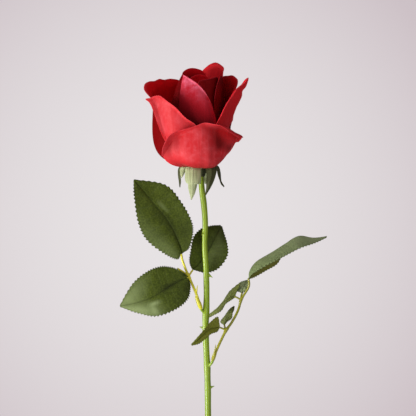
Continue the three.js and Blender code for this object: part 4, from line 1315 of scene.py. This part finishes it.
SEPAL = {"puff": (-0.08, -0.08), "veins": 1, "flutter": 0.1}
SEPALS = (
    Blade(
        "sepal_left", **SEPAL,
        rib=((-5.2, 0, 355.6), (-12, -1.5, 358.2), (-17.6, -2.5, 358.4), (-20.4, -3, 356.1),
             (-20.8, -3, 352.4), (-20.2, -3, 347), (-20.1, -3, 342.7)),
        left=((-5.2, 1.5, 355.8), (-12.5, 2, 358.8), (-18.2, 0, 359), (-21.2, -1, 356.5),
              (-21.6, -1.5, 352.5), (-20.9, -2, 347), (-20.3, -3, 342.7)),
        right=((-5, -1.5, 355.4), (-11.5, -4, 357.8), (-16.6, -5, 357.8), (-19.4, -5, 355),
               (-19.9, -4.6, 351.4), (-19.5, -4.2, 346.6), (-19.9, -3, 342.9)),
    ),
    Blade(
        "sepal_left_fold", **SEPAL,
        rib=((-5.2, 0, 355.6), (-13, -5, 357.8), (-17.6, -6.4, 357), (-18.2, -6.8, 353.6),
             (-18.8, -6.6, 349.4)),
        left=((-5.2, 1, 355.6), (-14, -3.5, 358.2), (-19.4, -5.6, 357), (-19.9, -6, 353.2),
              (-19.1, -6.4, 349.4)),
        right=((-5, -1, 355.4), (-12, -6, 357.2), (-15.7, -7, 356.4), (-16.8, -7, 353.2),
               (-18.6, -6.6, 349.5)),
    ),
    Blade(
        "sepal_front_left", **SEPAL,
        rib=((-5.2, -2, 355.5), (-9, -8, 358), (-10.6, -12, 356.3), (-10.9, -13.2, 352.5),
             (-11, -13.6, 348.5), (-11.1, -13.6, 346), (-11.2, -13.4, 344.6), (-11.3, -13, 342),
             (-11.5, -12, 338), (-11.9, -10.5, 333.6)),
        left=((-6.2, -2, 355.5), (-13.5, -6, 358), (-15.8, -9.5, 356.4), (-16.3, -10.8, 352.5),
              (-16.3, -11.4, 348.4), (-15.5, -11.8, 345.9), (-14.2, -12.2, 345), (-14, -12.2, 342.2),
              (-13.1, -11.5, 338), (-12.1, -10.4, 333.8)),
        right=((-4.4, -3, 355.5), (-5, -8, 357.8), (-5, -10.8, 356.2), (-5, -12, 352.5),
               (-5.1, -12.4, 348.2), (-5.5, -12.6, 345), (-7.4, -12.8, 345.5), (-8.3, -12.4, 342.2),
               (-9.6, -11.7, 338), (-11.7, -10.4, 333.8)),
    ),
    Blade(
        "sepal_front_right", **SEPAL,
        rib=((-2.6, -2, 355.5), (1, -7, 357.8), (2.4, -10, 355.6), (2.3, -11, 351.5), (1.4, -11, 347),
             (0.3, -10.5, 342.5), (-1.8, -9, 337)),
        left=((-3.4, -3, 355.5), (-2, -8, 357.5), (-1.4, -9.6, 354.6), (-1, -10, 350.5),
              (-1.2, -10, 346.3), (-1.2, -9.8, 342.2), (-2, -9, 337.2)),
        right=((-2.2, -1, 355.8), (5, -4, 358.4), (6.2, -6.6, 355.4), (5.5, -8, 351.5), (4, -8.6, 346.8),
               (1.8, -9.2, 342.3), (-1.6, -8.9, 337)),
    ),
    Blade(
        "sepal_right", **SEPAL,
        rib=((-2, 0.5, 355.8), (3.5, 1.5, 358.3), (6.8, 1.5, 357.2), (8, 1.2, 352.8), (8.9, 0.8, 348.4),
             (9.6, 0.2, 346), (11.5, -0.8, 343)),
        left=((-2.2, -1, 355.6), (3, -2.5, 357.8), (6, -2.5, 355.8), (7.2, -2, 351.6), (8.5, -1.5, 347.6),
              (9.3, -1, 345.2), (11.4, -1, 342.8)),
        right=((-2, 2, 356), (3.5, 5, 358.8), (7.4, 5, 357.8), (8.9, 4, 353.6), (9.4, 2.6, 349.4),
               (9.9, 1.2, 346.6), (11.7, -0.6, 343.3)),
    ),
    Blade(
        "sepal_back", **SEPAL,
        rib=((-4.4, 2, 355.5), (-2.6, 8, 358), (-2, 11, 355), (-1.9, 12, 350.5), (-1.9, 11, 345.5)),
        left=((-5.2, 2, 355.5), (-6.5, 7, 358), (-6, 9.5, 354.5), (-3.8, 11, 350), (-2.2, 11, 345.4)),
        right=((-3.6, 2, 355.5), (1.5, 7, 358), (1.2, 9.5, 354), (0.2, 11, 349.5), (-1.6, 11, 345.4)),
    ),
)


PALE_SEPAL = SepalFinish(
    "pale_sepal", outside=(0.42, 0.48, 0.23), inside=(0.58, 0.65, 0.36), streak=(0.20, 0.25, 0.09),
)
# A shaded copy of the sepal finish: painted shade for the sepals turned from the lamps and for the
# receptacle.
SHADED_SEPAL = SepalFinish(
    "shaded_sepal", outside=(0.030, 0.036, 0.012), inside=(0.060, 0.066, 0.022),
    streak=(0.130, 0.150, 0.060),
)


@dataclass
class Calyx:
    """The receptacle under the bloom and its five sepals, the left one folded into two blades."""

    node: str = "calyx"
    rows: int = 80
    columns: int = 33
    cup_steps: int = 50
    cup_sides: int = 48
    thickness: float = 0.6
    # The sepals that take the painted shade copy of the finish; the receptacle takes it too.
    shaded: tuple[str, ...] = ("sepal_left", "sepal_front_right", "sepal_right")
    cup: Rows = (
        (0, 350.3), (1.2, 350.3), (2.1, 350.4), (3.2, 352), (4, 354.4), (4.2, 356.8), (3.5, 358.4),
        (1.8, 358.6), (0, 358.6),
    )
    centre: tuple[float, float, float] = (-5.0, 0.0, 0.0)

    def build(self) -> None:
        """Builds the receptacle and each sepal as pieces of their own."""
        pale, shaded = PALE_SEPAL.material(), SHADED_SEPAL.material()
        for sepal in SEPALS:
            shell = sepal.shell(self.rows, self.columns, self.thickness).moved(ROSE_AT)
            finish = shaded if sepal.name in self.shaded else pale
            settle(mesh_object(sepal.name, shell), finish, Slot.SEPAL, self.node)
        cup = turned_shell(turned_profile(self.cup, self.cup_steps), self.cup_sides)
        cup = cup.moved(ROSE_AT + np.array(self.centre))
        flat = np.zeros(len(cup.points))
        cup.values = {"along": cup.points[:, 2], "across": flat, "side": flat}
        settle(mesh_object("receptacle", cup), shaded, Slot.SEPAL, self.node)


# ---- stem and stalks ---------------------------------------------------------------------------


@dataclass(frozen=True)
class Spike:
    """A thorn or stipule: a cone from a foot inside what carries it to a blunt tip."""

    foot: Sequence[float]
    tip: Sequence[float]
    radius: float
    tip_radius: float = 0.3
    hollow: float = 1.15  # 1 for straight sides, more for hollow ones
    steps: int = 14
    sides: int = 12

    def shell(self) -> Shell:
        """The spike as a straight bar whose radius falls to its tip's by a power of the way left.

        Returns:
            The closed shell.
        """
        share = np.linspace(0, 1, self.steps)
        path = spline((self.foot, self.tip), share)
        radii = self.tip_radius + (self.radius - self.tip_radius) * (1 - share) ** self.hollow
        return tube_shell(path, radii, self.sides)


@dataclass(frozen=True)
class Socket:
    """The hollow end of a stalk and the peg of the stem that it is pushed on."""

    peg_foot: Sequence[float]
    mouth: Sequence[float]
    towards: Sequence[float]
    length: float = 9.0
    radius: float = 1.7
    peg_radius: float = 1.0
    peg_flare: float = 0.8  # how much wider the peg's foot is
    flare_share: float = 0.3  # over what share of its length
    peg_reach: float = 3.9  # how far it goes into the sleeve
    peg_neck: float = 0.6  # how far before the mouth it comes into the sleeve's line
    start: float = 0.72  # the sleeve's radius at its mouth, as a share
    swell: float = 0.30  # the half sine's height, as a share
    early: float = 0.8  # 1 for a swell in the middle, less for one near the mouth
    fall: float = 0.12  # how much the line falls, as a share
    inset: float = 0.4  # how far past the mouth the sleeve starts
    steps: int = 24
    peg_sides: int = 20
    sides: int = 24

    def axis(self) -> np.ndarray:
        """The direction in which the stalk leaves the stem."""
        return unit(np.subtract(self.towards, self.mouth).astype(float))

    def peg(self) -> Shell:
        """The peg: from inside the stem to a little way inside the sleeve.

        Its radius falls from the flared foot by the square of the way left.

        Returns:
            The closed shell.
        """
        mouth = np.array(self.mouth, float)
        neck, end = mouth - self.peg_neck * self.axis(), mouth + self.peg_reach * self.axis()
        share = np.linspace(0, 1, self.steps)
        flare = self.peg_flare * np.clip(1 - share / self.flare_share, 0, 1) ** 2
        path = spline((self.peg_foot, neck, end), share)
        return tube_shell(path, self.peg_radius + flare, self.peg_sides)

    def sleeve(self) -> Shell:
        """The stalk's thicker end: a bar whose radius is a half sine on a slowly falling line.

        Returns:
            The closed shell.
        """
        share = np.linspace(0, 1, self.steps)
        path = np.array(self.mouth, float) + self.axis() * self.length * share[:, None]
        swell = self.swell * np.sin(math.pi * share**self.early)
        radii = self.radius * (self.start + swell - self.fall * share)
        return tube_shell(path + self.axis() * self.inset, radii, self.sides)


STALK_SOCKETS = {
    "left_stalk": Socket((-1.3, 0, 251.2), (-4.9, -2.5, 255.2), (-9, -3.6, 265.5)),
    "right_stalk": Socket((-0.6, 0, 212.8), (2.9, -3.1, 217.2), (6, -2.6, 226), radius=1.45),
}


@dataclass
class Stem:
    """The moulded stem with its thorns and the two pegs for the stalks."""

    node: str = "stem"
    route: Rows = (
        (4.6, 0, 6.3), (2.4, 0, 90), (0.3, 0, 168), (-0.1, 0, 196), (-0.5, 0, 211.5), (-1.1, 0, 224.5),
        (-1.6, 0, 236.5), (-1.6, 0, 249), (-1, 0, 264), (-1.4, 0, 283.5), (-2.4, 0, 301.5),
        (-2, 0, 317), (-2.9, 0, 330), (-4.2, 0, 340), (-5.3, 0, 351.5),
    )
    radius: float = 2.25
    top_radius: float = 2.15
    thins: Span = (290, 330)  # between what heights it goes from one radius to the other
    bulges: Rows = ((294, 20, -0.34), (252, 6, 0.28), (213, 5, 0.22))  # [height, width, growth]
    waves: Rows = ((7.3, 0.05, 0), (3.1, 0.04, 1))  # [length, growth, phase]
    steps: int = 420
    sides: int = 28
    voxel: float = 0.3
    smoothing: int = 4
    thorns: tuple[Spike, ...] = (
        Spike((-0.6, 0, 280.4), (3.2, -0.8, 277.8), 1.5),
        Spike((-2, 0, 240.8), (-6, -0.5, 242.4), 1.5),
        Spike((0.3, 0, 198), (4.4, -0.6, 199.6), 1.6),
        Spike((-2, 0, 311), (-4.6, -2.6, 308.6), 1.1),
    )

    def build(self) -> None:
        """Builds the stem as one melted piece.

        Its radius goes from one value to the other in a straight line, with a Gaussian bell for
        each bulge and a sine for each faint wave.
        """
        path = spline(self.route, np.linspace(0, 1, self.steps))
        height = path[:, 2]
        low, high = self.thins
        thin = np.clip((height - low) / (high - low), 0, 1)
        radii = self.radius + (self.top_radius - self.radius) * thin
        for middle, width, growth in self.bulges:
            radii = radii + growth * bell(height - middle, width)
        for length, growth, phase in self.waves:
            radii = radii + growth * np.sin(height / length + phase)
        shells = [tube_shell(path, radii, self.sides)]
        shells += [thorn.shell() for thorn in self.thorns]
        shells += [socket.peg() for socket in STALK_SOCKETS.values()]
        piece = mesh_object("stem_moulding", joined(shells).moved(ROSE_AT))
        melt(piece, self.voxel, self.smoothing)
        finish = MouldedFinish(
            "green_stem", low=(0.28, 0.43, 0.014), high=(0.32, 0.47, 0.016),
            patch=(0.42, 0.54, 0.06), low_at=170, high_at=350,
        )
        settle(piece, finish.material(), Slot.STEM, self.node)


@dataclass(frozen=True)
class Stalk:
    """A leaf stalk: sleeve, bar, twigs to the leaves and small pointed stipules."""

    node: str
    route: Rows
    twigs: tuple[Rows, ...]
    stipules: tuple[Spike, ...]
    finish: MouldedFinish
    radius: float = 0.94
    twig_radius: float = 0.68
    joint_growth: float = 0.3
    joint_width: float = 1.8
    foot_share: float = 1.06  # the bar's radius at its foot, as a share
    thinning: float = 0.18  # how much of it is lost on the way to its end
    steps: int = 160
    twig_steps: int = 16
    sides: int = 20
    twig_sides: int = 12
    voxel: float = 0.2
    smoothing: int = 6

    def build(self) -> None:
        """Builds the stalk as one melted piece.

        Its bar thins evenly from end to end, with a Gaussian bell where a twig leaves it.
        """
        share = np.linspace(0, 1, self.steps)
        path = spline(self.route, share)
        joints = [np.array(twig[0], float) for twig in self.twigs]
        swell = sum(bell(np.linalg.norm(path - j, axis=1), self.joint_width) for j in joints)
        radii = self.radius * (self.foot_share - self.thinning * share)
        radii = radii + self.joint_growth * np.clip(swell, 0, 1)
        shells = [tube_shell(path, radii, self.sides), STALK_SOCKETS[self.node].sleeve()]
        for twig in self.twigs:
            twig_path = spline(twig, np.linspace(0, 1, self.twig_steps))
            twig_radii = np.full(self.twig_steps, self.twig_radius)
            shells.append(tube_shell(twig_path, twig_radii, self.twig_sides))
        shells += [stipule.shell() for stipule in self.stipules]
        piece = mesh_object(f"{self.node}_moulding", joined(shells).moved(ROSE_AT))
        melt(piece, self.voxel, self.smoothing)
        settle(piece, self.finish.material(), Slot.STALK, self.node)


STALKS = (
    Stalk(
        "left_stalk",
        route=((-6.4, -3.1, 260), (-8.4, -3.4, 266), (-10.9, -2.6, 272), (-13.9, -1, 278.6),
               (-16.5, 0, 284.8), (-18.5, 0, 290.5), (-19.2, 0, 294.2)),
        twigs=(
            ((-13.9, -1, 278.6), (-12.6, 1, 280.8), (-11.2, 3, 282.8)),
            ((-13.9, -1, 278.6), (-14.3, -2.6, 278.3), (-14.7, -4.4, 277.9)),
            ((-13.9, -1, 278.6), (-17.6, 1.5, 281.6), (-21.8, 3, 284)),
        ),
        stipules=(Spike((-8.6, -3.4, 266), (-7.6, -4.4, 272), 0.95),),
        finish=MouldedFinish(
            "yellow_stalk", low=(0.80, 0.77, 0.04), high=(0.94, 0.86, 0.06), patch=(0.82, 0.76, 0.05),
            low_at=255, high_at=280,
        ),
    ),
    Stalk(
        "right_stalk",
        route=((4.4, -2.9, 221.5), (7.3, -1.6, 228.2), (10.4, -0.5, 234.6), (13.1, 0, 239.8),
               (17, 1, 245.2), (20.3, 2, 251), (22.4, 2.8, 256), (23.8, 3, 261.4), (26.2, 2.2, 265.6),
               (28.8, 1, 269.8), (29.6, 0.3, 273), (29.2, 0, 276.6)),
        twigs=(
            ((13.1, 0, 239.8), (11.2, 0, 240.7), (9, 0, 241.6)),
            ((13.1, 0, 239.8), (12.3, 1.4, 241.4), (11.9, 2.1, 243)),
            ((23.8, 3, 261.4), (21.6, 3.8, 262.8), (19.6, 4.3, 263.7)),
            ((23.8, 3, 261.4), (23.9, 4, 264), (24.6, 4.7, 266.4)),
        ),
        stipules=(
            Spike((4, -3.2, 220.3), (5.5, -4.8, 229.5), 0.95),
            Spike((6.4, -2.4, 225.5), (8.6, -3.3, 230.2), 0.8),
        ),
        finish=MouldedFinish(
            "olive_stalk", low=(0.48, 0.46, 0.04), high=(0.31, 0.31, 0.010), patch=(0.26, 0.26, 0.010),
            low_at=218, high_at=250,
        ),
    ),
)


# ---- the vase ----------------------------------------------------------------------------------


@dataclass
class Vase:
    """A slim bud vase: round belly, long neck, small flared lip and a flat foot."""

    node: str = "vase"
    height: float = 168.0
    foot_radius: float = 24.0
    floor: float = 6.0  # the height of the floor inside
    sides: int = 128
    outer_steps: int = 120
    inner_steps: int = 90
    outside: Rows = (
        (25, 0), (27, 1.2), (29.5, 8), (33, 22), (34.8, 38), (33.6, 54), (28.8, 70), (21.5, 86),
        (15.6, 102), (12.2, 120), (11, 138), (11.2, 152), (12.6, 162), (14.2, 166.6), (13.6, 168),
    )
    inside: Rows = (
        (11.6, 167.6), (9.6, 165), (6.2, 158), (4.6, 148), (4.2, 136), (5.6, 120), (9.6, 106), (16, 90),
        (24, 74), (29.2, 58), (30.4, 38), (28.4, 22), (22, 9), (12, 6),
    )

    def build(self) -> None:
        """Builds the vase's wall as one turned surface: under the foot, up outside, down inside."""
        profile = np.concatenate([
            [[0.0, 0.0], [self.foot_radius, 0.0]],
            spline(self.outside, np.linspace(0, 1, self.outer_steps)),
            spline(self.inside, np.linspace(0, 1, self.inner_steps)),
            [[0.0, self.floor]],
        ])
        profile[:, 1] = np.clip(profile[:, 1], 0, self.height)
        piece = mesh_object("vase_glazed", turned_shell(profile, self.sides))
        settle(piece, GlazeFinish().material(), Slot.GLAZE, self.node)


# ---- studio ------------------------------------------------------------------------------------


@dataclass(frozen=True)
class Lamp:
    """A square soft light aimed at the bloom."""

    name: str
    at: tuple[float, float, float]  # seen from the bloom, in metres
    size: float  # its side, in metres
    power: float
    colour: Colour

    def build(self, target: Vector) -> None:
        """Makes the light.

        Args:
            target: the point that it is aimed at, in metres.
        """
        data = bpy.data.lights.new(self.name, "AREA")
        data.size = self.size
        data.energy = self.power
        data.color = self.colour
        lamp = bpy.data.objects.new(self.name, data)
        lamp.location = target + Vector(self.at)
        lamp.rotation_euler = (-Vector(self.at)).to_track_quat("-Z", "Y").to_euler()
        lamp.visible_camera = False
        bpy.context.scene.collection.objects.link(lamp)


LAMPS = (
    Lamp("key", (-1.22, -0.39, -0.23), 0.5, 11.2, (1.0, 0.985, 0.97)),
    Lamp("low", (-0.965, -0.676, -0.549), 0.5, 7.0, (1.0, 0.985, 0.97)),
    Lamp("fill", (0.44, -1.2, -0.10), 0.9, 3.0, (1.0, 0.99, 0.985)),
    Lamp("top", (-0.40, -0.65, 1.05), 0.8, 2.4, (1.0, 0.99, 0.985)),
)


@dataclass
class Studio:
    """Camera, soft light and plain pale surroundings."""

    picture: float = 416.0  # the picture's side in pixels
    scale: float = 0.72  # millimetres to a pixel at the stem
    distance: float = 1400.0
    eye: Span = (-1.6, 327.8)  # the camera's across and height
    sensor: float = 36.0
    aim: tuple[float, float, float] = (0.0, 0.0, 20.0)  # what the lamps face, seen from BLOOM_AT
    backdrop: Colour = (0.800, 0.765, 0.775)  # brightest straight behind the rose
    backdrop_low: Colour = (0.610, 0.535, 0.568)
    bright_at: tuple[float, float, float] = (-22.0, 1400.0, -5.0)  # the direction from the camera
    bright_width: float = 0.158  # how wide it is, in radians
    ambient: float = 0.24  # how much of the backdrop lights the rose
    floor_radius: float = 1500.0
    floor_height: float = -0.2
    floor_rings: tuple[float, ...] = (0.1, 0.3, 0.6, 1.0)  # as shares of its radius
    floor_sides: int = 96
    floor_fade: Span = (0.2, 0.65)  # in metres from the middle
    floor_tint: Colour = (0.30, 0.29, 0.29)
    floor_glow: Colour = (1.0, 0.97, 0.975)
    floor_glow_strength: float = 0.62

    def camera(self) -> None:
        """Makes the camera: level, square on, and framed as the photograph is."""
        data = bpy.data.cameras.new("camera")
        data.sensor_width = self.sensor
        data.lens = self.sensor * self.distance / (self.picture * self.scale)
        data.clip_end = 100
        camera = bpy.data.objects.new("camera", data)
        camera.location = (self.eye[0] * MM, -self.distance * MM, self.eye[1] * MM)
        camera.rotation_euler = (math.pi / 2, 0, 0)
        bpy.context.scene.collection.objects.link(camera)
        bpy.context.scene.camera = camera
        bpy.context.scene.view_settings.view_transform = "Standard"

    def world(self) -> None:
        """Makes the pale world behind everything.

        Its tint goes from the bright one to the low one with the cosine of the angle between a
        ray and the bright direction. The camera sees it full, and it lights the rose dimly.
        """
        world = bpy.data.worlds.new("studio")
        world.use_nodes = True
        nodes = Nodes(world.node_tree)
        ray = nodes.node("ShaderNodeTexCoord", {}, {}, "Generated")
        ends = {0: ray, 1: Vector(self.bright_at).normalized()}
        cosine = nodes.node("ShaderNodeVectorMath", {"operation": "DOT_PRODUCT"}, ends, "Value")
        stretch = {0: cosine, 1: 1.0, 2: 1.0 - self.bright_width**2 / 2}
        away = nodes.node("ShaderNodeMapRange", {}, stretch)
        seen = nodes.node("ShaderNodeLightPath", {}, {}, "Is Camera Ray")
        strength = nodes.node("ShaderNodeMapRange", {}, {0: seen, 3: self.ambient, 4: 1.0})
        shade = nodes.tree.nodes["Background"]
        nodes.feed(shade.inputs["Color"], nodes.mix(away, self.backdrop, self.backdrop_low))
        nodes.feed(shade.inputs["Strength"], strength)
        bpy.context.scene.world = world

    def floor(self) -> None:
        """Makes the pale round floor, which fades out towards its rim."""
        sides, rings = self.floor_sides, self.floor_rings
        turn = np.linspace(0, 2 * math.pi, sides, endpoint=False)
        circle = self.floor_radius * np.stack([np.cos(turn), np.sin(turn), 0 * turn], -1)
        level = np.array([0, 0, self.floor_height])
        points = np.concatenate([circle * share + level for share in rings] + [level[None]])
        ring = np.arange(sides)
        fan = np.stack([np.full(sides, len(rings) * sides), ring, np.roll(ring, -1)], -1)
        quads = grid_quads(len(rings), sides, wrap=True)[:, ::-1]
        floor = mesh_object("floor", Shell(points, quads, fan))
        sheet = Sheet("pale_floor")
        far = sheet.node("ShaderNodeVectorMath", {"operation": "LENGTH"}, {0: sheet.place()}, "Value")
        sheet.feed(sheet.shader.inputs["Alpha"], 1.0 - far.ease(*self.floor_fade))
        pale = sheet.finish(
            (*self.floor_tint, 1.0), roughness=0.8, Emission_Color=(*self.floor_glow, 1.0),
            Emission_Strength=self.floor_glow_strength,
        )
        floor.data.materials.append(pale)

    def build(self) -> None:
        """Sets the camera, the lights and the surroundings."""
        self.camera()
        target = Vector((BLOOM_AT + np.array(self.aim)) * MM)
        for lamp in LAMPS:
            lamp.build(target)
        self.world()
        self.floor()


def main() -> None:
    """Loads the frame and builds every sub-assembly."""
    logging.basicConfig(level=logging.INFO, format="%(name)s: %(message)s")
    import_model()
    Studio().build()
    Bloom().build()
    Foliage().build()
    Calyx().build()
    Stem().build()
    for stalk in STALKS:
        stalk.build()
    Vase().build()


if __name__ == "__main__":
    main()
